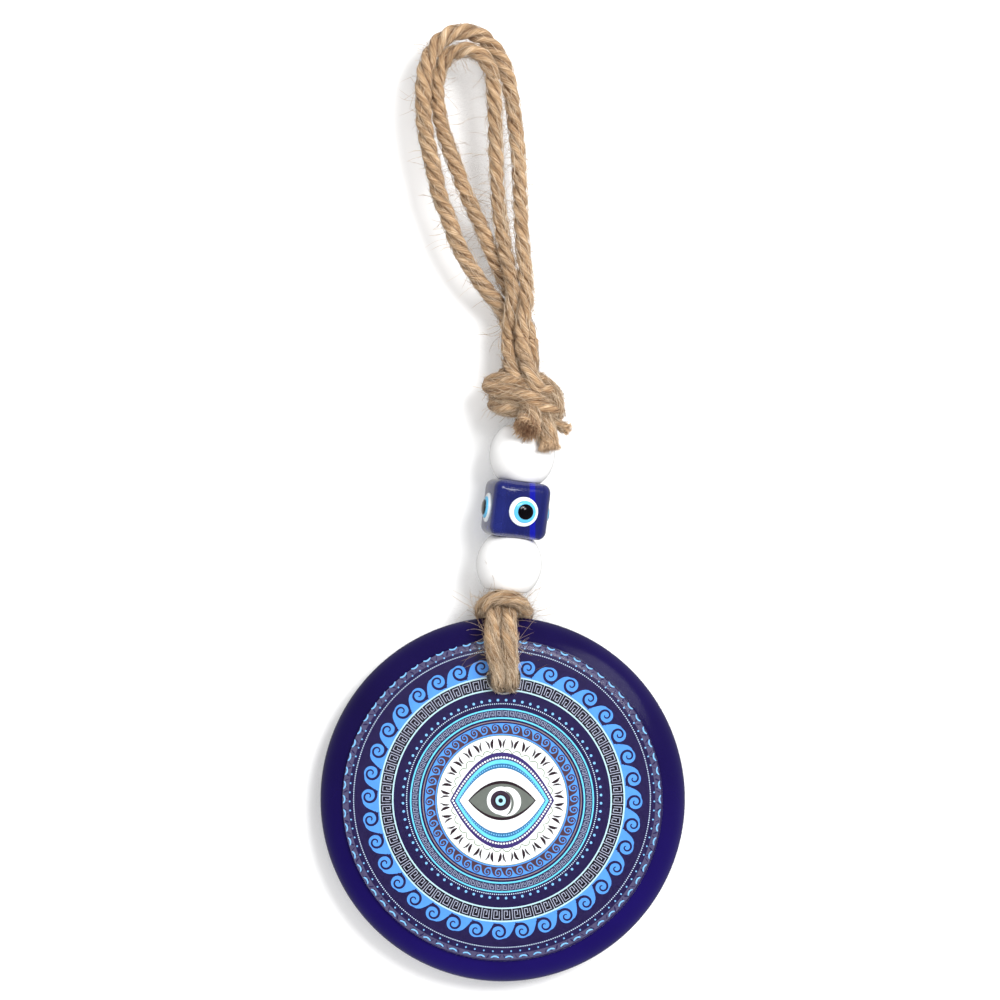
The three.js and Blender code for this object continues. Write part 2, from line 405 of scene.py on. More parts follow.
def hairMaterial(name, dark, pale):
    material, tree, surface = newMaterial(name, 0.7)
    tone = addNode(tree, "Attribute", attribute_name="tone")
    feed(tree, blendOf(tree, tone.outputs["Fac"], dark, pale), surface.inputs["Base Color"])
    return material


juteTwine = twineMaterial("juteTwine", rgb(104, 72, 46), rgb(181, 146, 108), rgb(230, 205, 172))
wornTwine = twineMaterial("wornTwine", rgb(92, 62, 38), rgb(172, 137, 100), rgb(224, 198, 164))
looseFibre = hairMaterial("looseFibre", rgb(150, 118, 86), rgb(236, 217, 190))
cutFibre = hairMaterial("cutFibre", rgb(126, 80, 52), rgb(226, 196, 160))


# helpers that turn a bmesh into a finished piece

def addPiece(name, bm, material, sharpDegrees=40, slot=None):
    mesh = bpy.data.meshes.new(name)
    bm.to_mesh(mesh)
    bm.free()
    mesh.shade_smooth()
    if sharpDegrees:
        mesh.set_sharp_from_angle(angle=math.radians(sharpDegrees))
    mesh.materials.append(material)
    piece = bpy.data.objects.new(name, mesh)
    bpy.context.scene.collection.objects.link(piece)
    return piece


def spunSolid(profile, segments):
    # turns [radius, height] points about the Z axis; a first or last radius of 0 closes on the axis
    bm = bmesh.new()
    points = [bm.verts.new((radius, 0, height)) for radius, height in profile]
    edges = [bm.edges.new(pair) for pair in zip(points, points[1:])]
    if profile[0][0] > 0:
        edges.append(bm.edges.new((points[-1], points[0])))
    bmesh.ops.spin(bm, geom=points + edges, cent=(0, 0, 0), axis=(0, 0, 1), angle=fullTurn,
                   steps=segments, use_merge=True)
    bmesh.ops.remove_doubles(bm, verts=bm.verts, dist=0.001 * mm)
    bmesh.ops.recalc_face_normals(bm, faces=bm.faces)
    return bm


def quarterRound(start, end, steps):
    # from one point up and in to the next along a quarter of an ellipse
    points = []
    for step in range(steps + 1):
        angle = step / steps * math.pi / 2
        points.append((end[0] + (start[0] - end[0]) * math.cos(angle),
                       start[1] + (end[1] - start[1]) * math.sin(angle)))
    return points


def cutAway(bm, cutter):
    # takes the cutter's solid out of bm; both are closed
    holders = []
    for name, part in (("blank", bm), ("cutter", cutter)):
        mesh = bpy.data.meshes.new(name)
        part.to_mesh(mesh)
        part.free()
        holder = bpy.data.objects.new(name, mesh)
        bpy.context.scene.collection.objects.link(holder)
        holders.append(holder)
    blank, tool = holders
    cut = blank.modifiers.new("cut", "BOOLEAN")
    cut.operation = "DIFFERENCE"
    cut.solver = "EXACT"
    cut.object = tool
    graph = bpy.context.evaluated_depsgraph_get()
    result = bmesh.new()
    result.from_mesh(blank.evaluated_get(graph).to_mesh())
    for holder in holders:
        mesh = holder.data
        bpy.data.objects.remove(holder)
        bpy.data.meshes.remove(mesh)
    return result


# routes and frames that the twine follows

def pointBetween(p0, p1, p2, p3, share):
    # a centripetal Catmull-Rom curve through p1 and p2
    t0 = 0
    t1 = t0 + math.sqrt((p1 - p0).length)
    t2 = t1 + math.sqrt((p2 - p1).length)
    t3 = t2 + math.sqrt((p3 - p2).length)
    t = t1 + (t2 - t1) * share
    a1 = p0.lerp(p1, (t - t0) / (t1 - t0))
    a2 = p1.lerp(p2, (t - t1) / (t2 - t1))
    a3 = p2.lerp(p3, (t - t2) / (t3 - t2))
    b1 = a1.lerp(a2, (t - t0) / (t2 - t0))
    b2 = a2.lerp(a3, (t - t1) / (t3 - t1))
    return b1.lerp(b2, (t - t1) / (t2 - t1))


def smoothLine(route, closed=False, fine=24):
    points = [Vector(point) for point in route]
    if closed:
        points = [points[-1], *points, points[0], points[1]]
    else:
        points = [points[0] * 2 - points[1], *points, points[-1] * 2 - points[-2]]
    line = []
    for p0, p1, p2, p3 in zip(points, points[1:], points[2:], points[3:]):
        line += [pointBetween(p0, p1, p2, p3, step / fine) for step in range(fine)]
    if not closed:
        line.append(points[-2])
    else:
        line.append(line[0].copy())
    return line


def stationsOn(route, spacing, closed=False):
    # evenly spaced stations: place, tangent, two sides that turn as little as they can, and distance
    line = smoothLine(route, closed)
    gaps = [(b - a).length for a, b in zip(line, line[1:])]
    total = sum(gaps)
    count = max(3, round(total / spacing))
    places = []
    index = 0
    passed = 0.0
    for step in range(count + 1):
        target = total * step / count
        while index < len(gaps) - 1 and passed + gaps[index] < target:
            passed += gaps[index]
            index += 1
        places.append(line[index].lerp(line[index + 1], min(1, (target - passed) / gaps[index])))
    stations = []
    side = None
    for step, place in enumerate(places):
        before = places[step - 1] if step else (places[-2] if closed else place)
        after = places[step + 1] if step < count else (places[1] if closed else place)
        tangent = (after - before).normalized()
        if side is None:
            side = tangent.orthogonal().normalized()
        side = (side - tangent * side.dot(tangent)).normalized()
        stations.append({
            "place": place,
            "tangent": tangent,
            "side": side,
            "up": tangent.cross(side),
            "along": total * step / count,
        })
    return stations


# the twine: three yarns laid up together, and the loose fibres on it

twine = {
    "radius": 1.5 * mm,
    "yarnRadius": 0.80 * mm,
    "yarnOffset": 0.72 * mm,
    "turnLength": 11.2 * mm,
    "sides": 24,
    "spacing": 0.5 * mm,
    "unevenness": 0.07,
    "fibreSlant": 0.32,
    # how worn twine differs: a longer turn, a rounder outline, a more uneven size, and paler painted shade
    # between the yarns
    "wornTurn": 0.6,
    "wornRound": (0.93, 0.45),
    "wornUneven": 1.2,
    "grooveShade": (0.85, 0.35),
    "fibreRadius": 0.036 * mm,
}

fuzz = {
    "wispsPerMm": 6.5,
    "straysPerMm": 1.8,
    # each pair is the least and the most of a random draw
    "wispLength": (2.5, 7.5),
    "wispFollow": (-0.15, 0.75),
    "wispHeight": (0.9, 1.04),
    "wispLift": (0.1, 0.75),
    "wispThickness": (0.7, 1.5),
    "strayAlong": (0.5, 1.2),
    "strayOut": (0.35, 1.0),
    "strayLength": (0.25, 1.0),
    "strayBend": (0.18, 0.62),
    "strayThickness": (0.6, 1.25),
    "strayTone": 0.6,
    "strayRoot": 0.8,
    "curlSteps": 7,
    "hairTip": 0.35,
}


def twineOutline(turn):
    # distance from the twine's middle to its surface, and how deep between the yarns that is, from 0 to 1
    share = (turn * 3 / fullTurn) % 1
    fromCrown = (share - 0.5) * fullTurn / 3
    reach = twine["yarnOffset"] * math.cos(fromCrown)
    reach += math.sqrt(twine["yarnRadius"] ** 2 - (twine["yarnOffset"] * math.sin(fromCrown)) ** 2)
    return reach, abs(share - 0.5) * 2


def layTwine(bm, stations, size=1.0, sizeAt=None, closed=False, startTurn=0.0, worn=0.0):
    # sweeps the laid outline along the stations; size scales its thickness, worn softens the lay
    lay = bm.loops.layers.uv.get("lay") or bm.loops.layers.uv.new("lay")
    paintedGrooveShade = bm.verts.layers.float.get("paintedGrooveShade") or bm.verts.layers.float.new("paintedGrooveShade")
    sides = twine["sides"]
    turnLength = twine["turnLength"] * (1 + twine["wornTurn"] * worn)
    if closed:
        turnLength = stations[-1]["along"] / max(1, round(stations[-1]["along"] / turnLength))
    uneven = twine["unevenness"] * (1 + twine["wornUneven"] * worn)
    roundTo, roundShare = twine["wornRound"]
    fullShade, wornShade = twine["grooveShade"]
    rings = []
    for number, station in enumerate(stations[:-1] if closed else stations):
        twist = startTurn - fullTurn * station["along"] / turnLength
        share = number / (len(stations) - 1)
        thick = size * (sizeAt(share) if sizeAt else 1)
        ring = []
        for k in range(sides):
            turn = fullTurn * k / sides
            reach, depth = twineOutline(turn)
            wobble = noise.noise(station["place"] * 320 + Vector((k // 8 * 7.3, 0, 0)))
            reach += (twine["radius"] * roundTo - reach) * roundShare * worn
            reach *= thick * (1 + uneven * wobble)
            angle = turn + twist
            offset = station["side"] * math.cos(angle) + station["up"] * math.sin(angle)
            vert = bm.verts.new(station["place"] + offset * reach)
            # painted shade: a darker colour deep between the yarns, where shade falls
            vert[paintedGrooveShade] = depth ** 5 * (fullShade - wornShade * worn)
            ring.append(vert)
        rings.append(ring)
    around = fullTurn * twine["radius"] / mm

    def joinRings(first, second, alongFirst, alongSecond):
        for k in range(sides):
            nextK = (k + 1) % sides
            face = bm.faces.new((first[k], first[nextK], second[nextK], second[k]))
            corners = ((k, alongFirst), (k + 1, alongFirst), (k + 1, alongSecond), (k, alongSecond))
            for loop, (number, along) in zip(face.loops, corners):
                loop[lay].uv = (number / sides * around + twine["fibreSlant"] * along / mm, along / mm)

    for number in range(len(rings) - 1):
        joinRings(rings[number], rings[number + 1], stations[number]["along"], stations[number + 1]["along"])
    if closed:
        joinRings(rings[-1], rings[0], stations[-2]["along"], stations[-1]["along"])
    else:
        bm.faces.new(list(reversed(rings[0])))
        bm.faces.new(rings[-1])


def addHair(bm, tone, points, radius, shade):
    # one fibre: a thin three-sided tube that tapers to its ends
    rings = []
    last = len(points) - 1
    for number, point in enumerate(points):
        ahead = points[min(last, number + 1)] - points[max(0, number - 1)]
        side = ahead.orthogonal().normalized()
        up = ahead.cross(side).normalized()
        thick = radius * (fuzz["hairTip"] if number in (0, last) else 1)
        ring = []
        for k in range(3):
            angle = fullTurn * k / 3
            vert = bm.verts.new(point + (side * math.cos(angle) + up * math.sin(angle)) * thick)
            vert[tone] = shade
            ring.append(vert)
        rings.append(ring)
    for first, second in zip(rings, rings[1:]):
        for k in range(3):
            bm.faces.new((first[k], first[(k + 1) % 3], second[(k + 1) % 3], second[k]))
    bm.faces.new(list(reversed(rings[0])))
    bm.faces.new(rings[-1])


def wispPoints(dice, stations, size):
    # a fibre that lies on the yarns and lifts off a little at its ends
    spacing = stations[1]["along"] - stations[0]["along"]
    steps = max(5, round(dice.uniform(*fuzz["wispLength"]) * mm / spacing))
    first = dice.randrange(0, max(1, len(stations) - steps))
    angle = dice.uniform(0, fullTurn)
    follow = dice.uniform(*fuzz["wispFollow"])
    height = twine["radius"] * size * dice.uniform(*fuzz["wispHeight"])
    lift = dice.uniform(*fuzz["wispLift"]) * mm
    picked = stations[first:first + steps + 1]
    points = []
    stride = max(1, steps // 5)
    for station in picked[::stride]:
        run = station["along"] - picked[0]["along"]
        share = run / max(1e-9, picked[-1]["along"] - picked[0]["along"])
        turn = angle - follow * fullTurn * run / twine["turnLength"]
        reach = height + lift * abs(2 * share - 1) ** 3
        outward = station["side"] * math.cos(turn) + station["up"] * math.sin(turn)
        points.append(station["place"] + outward * reach)
    return points


def strayPoints(dice, stations, size, longest):
    # a fibre that springs away from the twine and curls
    station = dice.choice(stations)
    turn = dice.uniform(0, fullTurn)
    outward = station["side"] * math.cos(turn) + station["up"] * math.sin(turn)
    place = station["place"] + outward * twine["radius"] * size * fuzz["strayRoot"]
    heading = station["tangent"] * dice.choice((-1, 1)) * dice.uniform(*fuzz["strayAlong"])
    heading += outward * dice.uniform(*fuzz["strayOut"])
    heading.normalize()
    curl = Vector([dice.uniform(-1, 1) for axis in range(3)])
    curl = (curl - heading * curl.dot(heading)).normalized()
    step = longest * dice.uniform(*fuzz["strayLength"]) ** 1.6 / fuzz["curlSteps"]
    bendBy = dice.uniform(*fuzz["strayBend"])
    points = [place]
    for number in range(fuzz["curlSteps"]):
        heading = (heading + curl * bendBy).normalized()
        place = place + heading * step
        points.append(place)
    return points


def addFuzz(name, sets, seed, longest=4.5 * mm, wisps=1.0, strays=1.0):
    # loose fibres over several strands; sets holds (stations, size) pairs
    dice = random.Random(seed)
    bm = bmesh.new()
    tone = bm.verts.layers.float.new("tone")
    for stations, size in sets:
        length = (stations[-1]["along"] - stations[0]["along"]) / mm
        for number in range(round(length * fuzz["wispsPerMm"] * wisps)):
            points = wispPoints(dice, stations, size)
            radius = twine["fibreRadius"] * dice.uniform(*fuzz["wispThickness"])
            addHair(bm, tone, points, radius, dice.random())
        for number in range(round(length * fuzz["straysPerMm"] * strays)):
            points = strayPoints(dice, stations, size, longest)
            radius = twine["fibreRadius"] * dice.uniform(*fuzz["strayThickness"])
            addHair(bm, tone, points, radius, dice.random() * fuzz["strayTone"])
    return addPiece(name, bm, looseFibre, sharpDegrees=0, slot="jute_twine")


def addStrand(name, stations, size=1.0, sizeAt=None, worn=0.0):
    bm = bmesh.new()
    layTwine(bm, stations, size, sizeAt, worn=worn)
    return addPiece(name, bm, wornTwine if worn > 0.5 else juteTwine, sharpDegrees=0, slot="jute_twine")


# the two hanging loops and the four strands that lead from them down into the knot

loops = {
    "outer": [
        (0.0112, 0.0021, -0.0700), (0.0109, 0.0029, -0.0669), (0.0103, 0.0029, -0.0620),
        (0.0090, 0.0027, -0.0579), (0.0077, 0.0023, -0.0548), (0.0064, 0.0016, -0.0531),
        (0.0046, 0.0009, -0.0511), (0.0021, 0.0002, -0.0478), (-0.0007, -0.0003, -0.0433),
        (-0.0027, -0.0006, -0.0391), (-0.0040, -0.0008, -0.0352), (-0.0057, -0.0009, -0.0310),
        (-0.0076, -0.0010, -0.0230), (-0.0090, -0.0011, -0.0168), (-0.0095, -0.0012, -0.0114),
        (-0.0095, -0.0014, -0.0063), (-0.0087, -0.0013, -0.0013), (-0.0065, -0.0006, 0.0029),
        (-0.0037, 0.0002, 0.0052), (-0.0009, 0.0008, 0.0059), (0.0024, 0.0013, 0.0053),
        (0.0052, 0.0017, 0.0031), (0.0072, 0.0018, 0.0004), (0.0086, 0.0019, -0.0031),
        (0.0094, 0.0018, -0.0066), (0.0105, 0.0012, -0.0146), (0.0113, 0.0006, -0.0230),
        (0.0116, 0.0000, -0.0310), (0.0118, -0.0004, -0.0365), (0.0122, -0.0008, -0.0415),
        (0.0126, -0.0012, -0.0466), (0.0130, -0.0017, -0.0512), (0.0128, -0.0019, -0.0547),
        (0.0121, -0.0019, -0.0579), (0.0119, -0.0018, -0.0616), (0.0126, -0.0028, -0.0655),
        (0.0135, -0.0056, -0.0686), (0.0145, -0.0064, -0.0707), (0.0156, -0.0048, -0.0727),
    ],
    "inner": [
        (0.0138, 0.0012, -0.0700), (0.0142, 0.0014, -0.0669), (0.0140, 0.0015, -0.0616),
        (0.0129, 0.0019, -0.0579), (0.0116, 0.0022, -0.0551), (0.0101, 0.0023, -0.0522),
        (0.0085, 0.0021, -0.0492), (0.0071, 0.0015, -0.0461), (0.0052, 0.0007, -0.0422),
        (0.0037, 0.0003, -0.0383), (0.0021, 0.0001, -0.0347), (0.0004, 0.0001, -0.0310),
        (-0.0027, 0.0003, -0.0230), (-0.0048, 0.0007, -0.0173), (-0.0059, 0.0012, -0.0131),
        (-0.0066, 0.0016, -0.0087), (-0.0066, 0.0017, -0.0057), (-0.0061, 0.0014, -0.0026),
        (-0.0046, 0.0006, 0.0000), (-0.0022, -0.0004, 0.0014), (0.0004, -0.0011, 0.0016),
        (0.0028, -0.0015, 0.0006), (0.0046, -0.0017, -0.0017), (0.0056, -0.0017, -0.0048),
        (0.0060, -0.0013, -0.0092), (0.0061, -0.0008, -0.0146), (0.0064, -0.0004, -0.0230),
        (0.0068, -0.0004, -0.0310), (0.0074, -0.0006, -0.0366), (0.0082, -0.0009, -0.0416),
        (0.0093, -0.0011, -0.0461), (0.0101, -0.0011, -0.0505), (0.0099, -0.0008, -0.0542),
        (0.0093, -0.0006, -0.0579), (0.0090, -0.0001, -0.0616), (0.0091, -0.0012, -0.0652),
        (0.0097, -0.0036, -0.0681), (0.0107, -0.0045, -0.0700), (0.0118, -0.0038, -0.0717),
    ],
    "splitZ": -0.0618,
    "sizes": {
        "outer": (1.15, 1.22, 1.27, 1.06, 1.06),
        "inner": (1.06, 1.08, 1.17, 1.03, 1.03),
    },
}


def splitLoop(stations):
    # the strand below the split on the way up, the loop, and the strand below the split on the way down
    above = [number for number, station in enumerate(stations) if station["place"].z > loops["splitZ"]]
    return stations[:above[0] + 1], stations[above[0]:above[-1] + 1], stations[above[-1]:]


def sizeAlong(sizes):
    # a size that runs evenly from one value to the next along a strand
    def sizeAt(share):
        spot = min(share, 0.9999) * (len(sizes) - 1)
        index = int(spot)
        return sizes[index] + (sizes[index + 1] - sizes[index]) * (spot - index)
    return sizeAt


def bendAcross(piece):
    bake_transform(piece)


def addLoop(name, seed):
    # lays one hanging loop, and gives back the two strands below it
    rising, hanging, falling = splitLoop(stationsOn(loops[name], twine["spacing"]))
    piece = addStrand(f"loop{name.capitalize()}Twine", hanging, sizeAt=sizeAlong(loops["sizes"][name]))
    bendAcross(piece)
    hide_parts(f"loop_{name}")
    hairs = addFuzz(f"loop{name.capitalize()}Fuzz", [(hanging, 1.1)], seed, longest=8 * mm, strays=2.0)
    bendAcross(hairs)
    tuple(hanging[0]["place"])
    [tuple(station["place"]) for station in hanging]
    return rising, falling


neckParts = [*zip(("back", "front"), addLoop("outer", 11)), *zip(("right", "left"), addLoop("inner", 13))]
for node, part in neckParts:
    piece = addStrand(f"neck{node.capitalize()}Twine", part, size=1.06, worn=0.4)
    bendAcross(piece)
    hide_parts(f"neck_strand_{node}")
neckFuzz = addFuzz("neckFuzz", [(part, 1.0) for node, part in neckParts], seed=21)
bendAcross(neckFuzz)
print("hanging loops and neck strands laid")


# the knot: turns of twine round a core, and the two cut ends below it

knot = {
    "turns": [
        # (size, route), each turn closed
        # top turn, close under the strands
        (0.95, [(0.0082, 0.0002, -0.0689), (0.0092, -0.0024, -0.0691), (0.0112, -0.0034, -0.0694),
                (0.0136, -0.0034, -0.0699), (0.0156, -0.0022, -0.0704), (0.0164, 0.0002, -0.0706),
                (0.0154, 0.0027, -0.0700), (0.0124, 0.0036, -0.0694), (0.0096, 0.0026, -0.0690)]),
        # upper turn, from the left bulge across to the right
        (1.14, [(0.0053, -0.0012, -0.0710), (0.0068, -0.0033, -0.0706), (0.0092, -0.0044, -0.0706),
                (0.0118, -0.0048, -0.0711), (0.0143, -0.0047, -0.0719), (0.0166, -0.0041, -0.0727),
                (0.0186, -0.0027, -0.0735), (0.0193, -0.0004, -0.0739), (0.0184, 0.0023, -0.0731),
                (0.0154, 0.0041, -0.0720), (0.0115, 0.0044, -0.0712), (0.0080, 0.0034, -0.0709),
                (0.0059, 0.0012, -0.0710)]),
        # main turn, wide, from the left bulge down to the lower right
        (1.34, [(0.0053, -0.0018, -0.0719), (0.0073, -0.0041, -0.0729), (0.0099, -0.0052, -0.0735),
                (0.0126, -0.0057, -0.0743), (0.0152, -0.0056, -0.0755), (0.0175, -0.0047, -0.0767),
                (0.0190, -0.0030, -0.0775), (0.0194, -0.0006, -0.0776), (0.0184, 0.0021, -0.0768),
                (0.0155, 0.0042, -0.0754), (0.0116, 0.0048, -0.0741), (0.0081, 0.0038, -0.0729),
                (0.0058, 0.0012, -0.0719)]),
        # right turn: stands nearly upright round the right side
        (1.06, [(0.0154, -0.0004, -0.0702), (0.0170, -0.0020, -0.0712), (0.0184, -0.0030, -0.0727),
                (0.0193, -0.0036, -0.0747), (0.0194, -0.0038, -0.0767), (0.0186, -0.0034, -0.0783),
                (0.0170, -0.0024, -0.0789), (0.0157, -0.0004, -0.0784), (0.0152, 0.0018, -0.0770),
                (0.0158, 0.0034, -0.0748), (0.0160, 0.0032, -0.0724), (0.0153, 0.0016, -0.0706)]),
        # lower left turn, half under the main one
        (1.2, [(0.0062, -0.0010, -0.0757), (0.0074, -0.0032, -0.0764), (0.0096, -0.0041, -0.0768),
               (0.0120, -0.0037, -0.0771), (0.0138, -0.0016, -0.0773), (0.0135, 0.0018, -0.0769),
               (0.0110, 0.0038, -0.0763), (0.0082, 0.0034, -0.0758), (0.0064, 0.0014, -0.0756)]),
        # inner turn between the main and the lower one
        (1.0, [(0.0062, -0.0006, -0.0741), (0.0076, -0.0032, -0.0747), (0.0098, -0.0044, -0.0755),
               (0.0125, -0.0046, -0.0763), (0.0146, -0.0032, -0.0771), (0.0154, -0.0004, -0.0771),
               (0.0142, 0.0026, -0.0761), (0.0114, 0.0040, -0.0751), (0.0082, 0.0034, -0.0743),
               (0.0065, 0.0016, -0.0740)]),
    ],
    "core": (0.0062, 0.0034, 0.0038),
    "tails": {
        # (size at the knot, size at the cut, route, how many fibres at the cut,
        # and how pale they are)
        "left": [(1.42, 1.95, [(0.0134, -0.0034, -0.0764), (0.0136, -0.0060, -0.0780),
                               (0.0134, -0.0081, -0.0797), (0.0131, -0.0095, -0.0811)], 640, 0.0)],
        "right": [(1.15, 1.5, [(0.0168, -0.0034, -0.0776), (0.0172, -0.0053, -0.0796),
                               (0.0175, -0.0066, -0.0818), (0.0178, -0.0073, -0.0847)], 480, 0.35),
                  (0.55, 0.8, [(0.0182, -0.0050, -0.0788), (0.0193, -0.0058, -0.0798),
                               (0.0204, -0.0061, -0.0806), (0.0214, -0.0062, -0.0811)], 130, 0.5)],
    },
}


def addKnot():
    bm = bmesh.new()
    sets = []
    for size, route in knot["turns"]:
        stations = stationsOn(route, twine["spacing"], closed=True)
        layTwine(bm, stations, size, closed=True, worn=0.8)
        sets.append((stations, size))
    paintedGrooveShade = bm.verts.layers.float.get("paintedGrooveShade")
    core = bmesh.ops.create_icosphere(bm, subdivisions=3, radius=1)["verts"]
    bmesh.ops.scale(bm, vec=knot["core"], verts=core)
    bmesh.ops.translate(bm, vec=centreOf("knot"), verts=core)
    # painted shade: the core takes the darkest twine colour all over, as shade between the turns
    for vert in core:
        vert[paintedGrooveShade] = 1.0
    piece = addPiece("knotTwine", bm, wornTwine, sharpDegrees=0, slot="jute_twine")
    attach(piece, "knot")
    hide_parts("knot")
    hairs = addFuzz("knotFuzz", sets, seed=31, longest=4.2 * mm, wisps=2.0, strays=1.4)
    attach(hairs, "knot")


def addBrush(cut, tone, dice, end, endSize, count, pale):
    # short fibres that stand out of a cut end, with painted shade that makes them darker towards its middle
    for number in range(count):
        turn = dice.uniform(0, fullTurn)
        reach = math.sqrt(dice.random())
        outward = end["side"] * math.cos(turn) + end["up"] * math.sin(turn)
        root = end["place"] + outward * reach * twine["radius"] * endSize * 0.92
        heading = (end["tangent"] + outward * reach * dice.uniform(0.1, 0.9)).normalized()
        sway = Vector([dice.uniform(-0.25, 0.25) for axis in range(3)])
        step = dice.uniform(0.7, 1.6) * mm / 3
        points = [root - end["tangent"] * 1.0 * mm, root]
        for part in range(3):
            heading = (heading + sway).normalized()
            points.append(points[-1] + heading * step)
        shade = min(1, pale + dice.uniform(0.1, 0.9) * reach ** 1.6 + dice.uniform(0, 0.3))
        addHair(cut, tone, points, twine["fibreRadius"] * dice.uniform(1.1, 2.2), shade)


def addTail(side, seed):
    # a cut end whose yarns open out, with a brush of fibres at its cut
    dice = random.Random(seed)
    bm = bmesh.new()
    cut = bmesh.new()
    tone = cut.verts.layers.float.new("tone")
    sets = []
    for startSize, endSize, route, count, pale in knot["tails"][side]:
        stations = stationsOn(route, twine["spacing"])
        grown = endSize - startSize
        layTwine(bm, stations, sizeAt=lambda share: startSize + grown * share ** 1.5, worn=0.5)
        addBrush(cut, tone, dice, stations[-1], endSize, count, pale)
        sets.append((stations, (startSize + endSize) / 2))
    piece = addPiece(f"tail{side.capitalize()}Twine", bm, wornTwine, sharpDegrees=0, slot="jute_twine")
    brush = addPiece(f"tail{side.capitalize()}Brush", cut, cutFibre, sharpDegrees=0, slot="jute_twine")
    hairs = addFuzz(f"tail{side.capitalize()}Fuzz", sets, seed + 1, longest=3.5 * mm, wisps=3, strays=2.5)
    for part in (piece, brush, hairs):
        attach(part, "knot")
    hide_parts(f"tail_{side}")


addKnot()
addTail("left", 41)
addTail("right", 43)
print("knot and its cut ends tied")


# the twine inside the beads, and the hitch round the disc's upper edge

stringFoot = centreOf("lower_bead")
stringTop = centreOf("upper_bead")
stringAxis = (stringTop - stringFoot).normalized()
stringTurn = stringAxis.to_track_quat("Z", "Y").to_matrix().to_4x4()
beadStep = (stringTop - stringFoot).length / 2

beadTwine = {
    "offset": 1.45 * mm,
    "size": 0.84,
    "below": 5.6 * mm,
    "above": 7.6 * mm,
}


def addBeadTwine(side, sign):
    across = Vector((1, 0, 0)) - stringAxis * stringAxis.x
    across = across.normalized() * sign * beadTwine["offset"]
    first = stringFoot - stringAxis * beadTwine["below"] + across
    last = stringTop + stringAxis * beadTwine["above"] + across
    stations = stationsOn([first, first.lerp(last, 0.33), first.lerp(last, 0.67), last], twine["spacing"])
    piece = addStrand(f"beadTwine{side.capitalize()}", stations, beadTwine["size"])
    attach(piece, "knot")
    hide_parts(f"bead_twine_{side}")


for side, sign in (("left", -1), ("right", 1)):
    addBeadTwine(side, sign)

hitchX = 0.0081

hitch = {
    "neck": [(0.0017, 0, -0.1168), (0.0016, -0.0005, -0.1182), (0.0016, -0.0014, -0.1194),
             (0.0017, -0.0020, -0.1202)],
    "front": [(0.0016, -0.0017, -0.1195), (0.00165, -0.0034, -0.1217), (0.0018, -0.0047, -0.1244),
              (0.00185, -0.0051, -0.1272), (0.0016, -0.0050, -0.1304), (0.0014, -0.0048, -0.1336),
              (0.0013, -0.0038, -0.1364), (0.0013, -0.0014, -0.1373), (0.0013, 0.0006, -0.1373)],
    "back": [(0.0013, 0.0004, -0.1373), (0.0014, 0.0032, -0.1366), (0.00155, 0.0053, -0.1348),
             (0.0018, 0.0059, -0.1315), (0.0029, 0.0059, -0.1275), (0.0042, 0.0058, -0.1240),
             (0.0048, 0.0049, -0.1214), (0.0049, 0.0022, -0.1207), (0.0049, 0.0014, -0.1207)],
    "bight": [(-0.0049, 0.0018, -0.12075), (-0.0049, -0.0008, -0.1206), (-0.0048, -0.0024, -0.1202),
              (-0.0042, -0.0039, -0.1192), (-0.0026, -0.0048, -0.1181), (0, -0.0050, -0.1176),
              (0.0026, -0.0048, -0.1181), (0.0042, -0.0039, -0.1192), (0.0048, -0.0024, -0.1202),
              (0.0049, -0.0008, -0.1208), (0.0049, 0.0018, -0.12075)],
    "sizes": {"neck": 0.9, "front": 1.0, "back": 1.0, "bight": 1.02},
    "frontSizes": (1.14, 1.2, 1.22, 0.98, 0.9, 0.86, 0.86),
    "leanFoot": -0.1366,
    "fuzzFoot": -0.1345,
    "bightSpread": 0.96,
    "bightShift": -0.0002,
    # how far the strands lean sideways at a height, as (height, shift) pairs
    "lean": [(-0.1195, -0.0006), (-0.1244, -0.00075), (-0.1275, -0.0007), (-0.1310, -0.0003),
             (-0.1340, 0.0002), (-0.1373, 0.0003)],
}


def leanAt(height):
    pairs = hitch["lean"]
    for (top, before), (foot, after) in zip(pairs, pairs[1:]):
        if height > foot:
            return before + (after - before) * min(1, max(0, (top - height) / (top - foot)))
    return pairs[-1][1]


def addHitch():
    sets = []
    feet = []
    for side, sign in (("left", -1), ("right", 1)):
        for part, body in (("neck", "lower_neck"), ("front", "disc"), ("back", "disc")):
            front = part == "front"
            route = []
            for x, y, z in hitch[part]:
                shift = leanAt(z) if front or z < hitch["leanFoot"] else 0
                route.append((hitchX + sign * x + shift, y, z))
            stations = stationsOn(route, twine["spacing"])
            name, node = f"hitch{part.capitalize()}", f"hitch_{part}"
            if part == "neck":
                name, node = "neckTwine", "neck_twine"
            sizeAt = sizeAlong(hitch["frontSizes"]) if front else None
            piece = addStrand(name + side.capitalize(), stations, hitch["sizes"][part], sizeAt, worn=0.7)
            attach(piece, body)
            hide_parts(f"{node}_{side}")
            if part != "neck":
                clear = [station for station in stations if station["place"].z > hitch["fuzzFoot"]]
                sets.append((clear, 1.1 if front else 1.0))
            if front:
                feet.append((stations[len(stations) // 2:], 0.9))
    middle = hitchX + hitch["bightShift"]
    bight = [(middle + x * hitch["bightSpread"], y, z) for x, y, z in hitch["bight"]]
    stations = stationsOn(bight, twine["spacing"])
    piece = addStrand("hitchBight", stations, hitch["sizes"]["bight"], worn=0.7)
    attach(piece, "disc")
    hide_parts("hitch_bight")
    sets.append((stations, 1.0))
    hairs = addFuzz("hitchFuzz", sets, seed=61, longest=9.5 * mm, wisps=2.2, strays=2.4)
    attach(hairs, "disc")
    footHairs = addFuzz("hitchFootFuzz", feet, seed=67, wisps=4, strays=0)
    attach(footHairs, "disc")


addHitch()
print("twine laid through the beads and hitched round the disc")


# the beads

bead = {
    "radius": 7.2 * mm,
    "halfHeight": 5.87 * mm,
    "landRadius": 4.6 * mm,
    "boreRadius": 3.0 * mm,
    "lipRound": 0.5 * mm,
    "segments": 96,
}

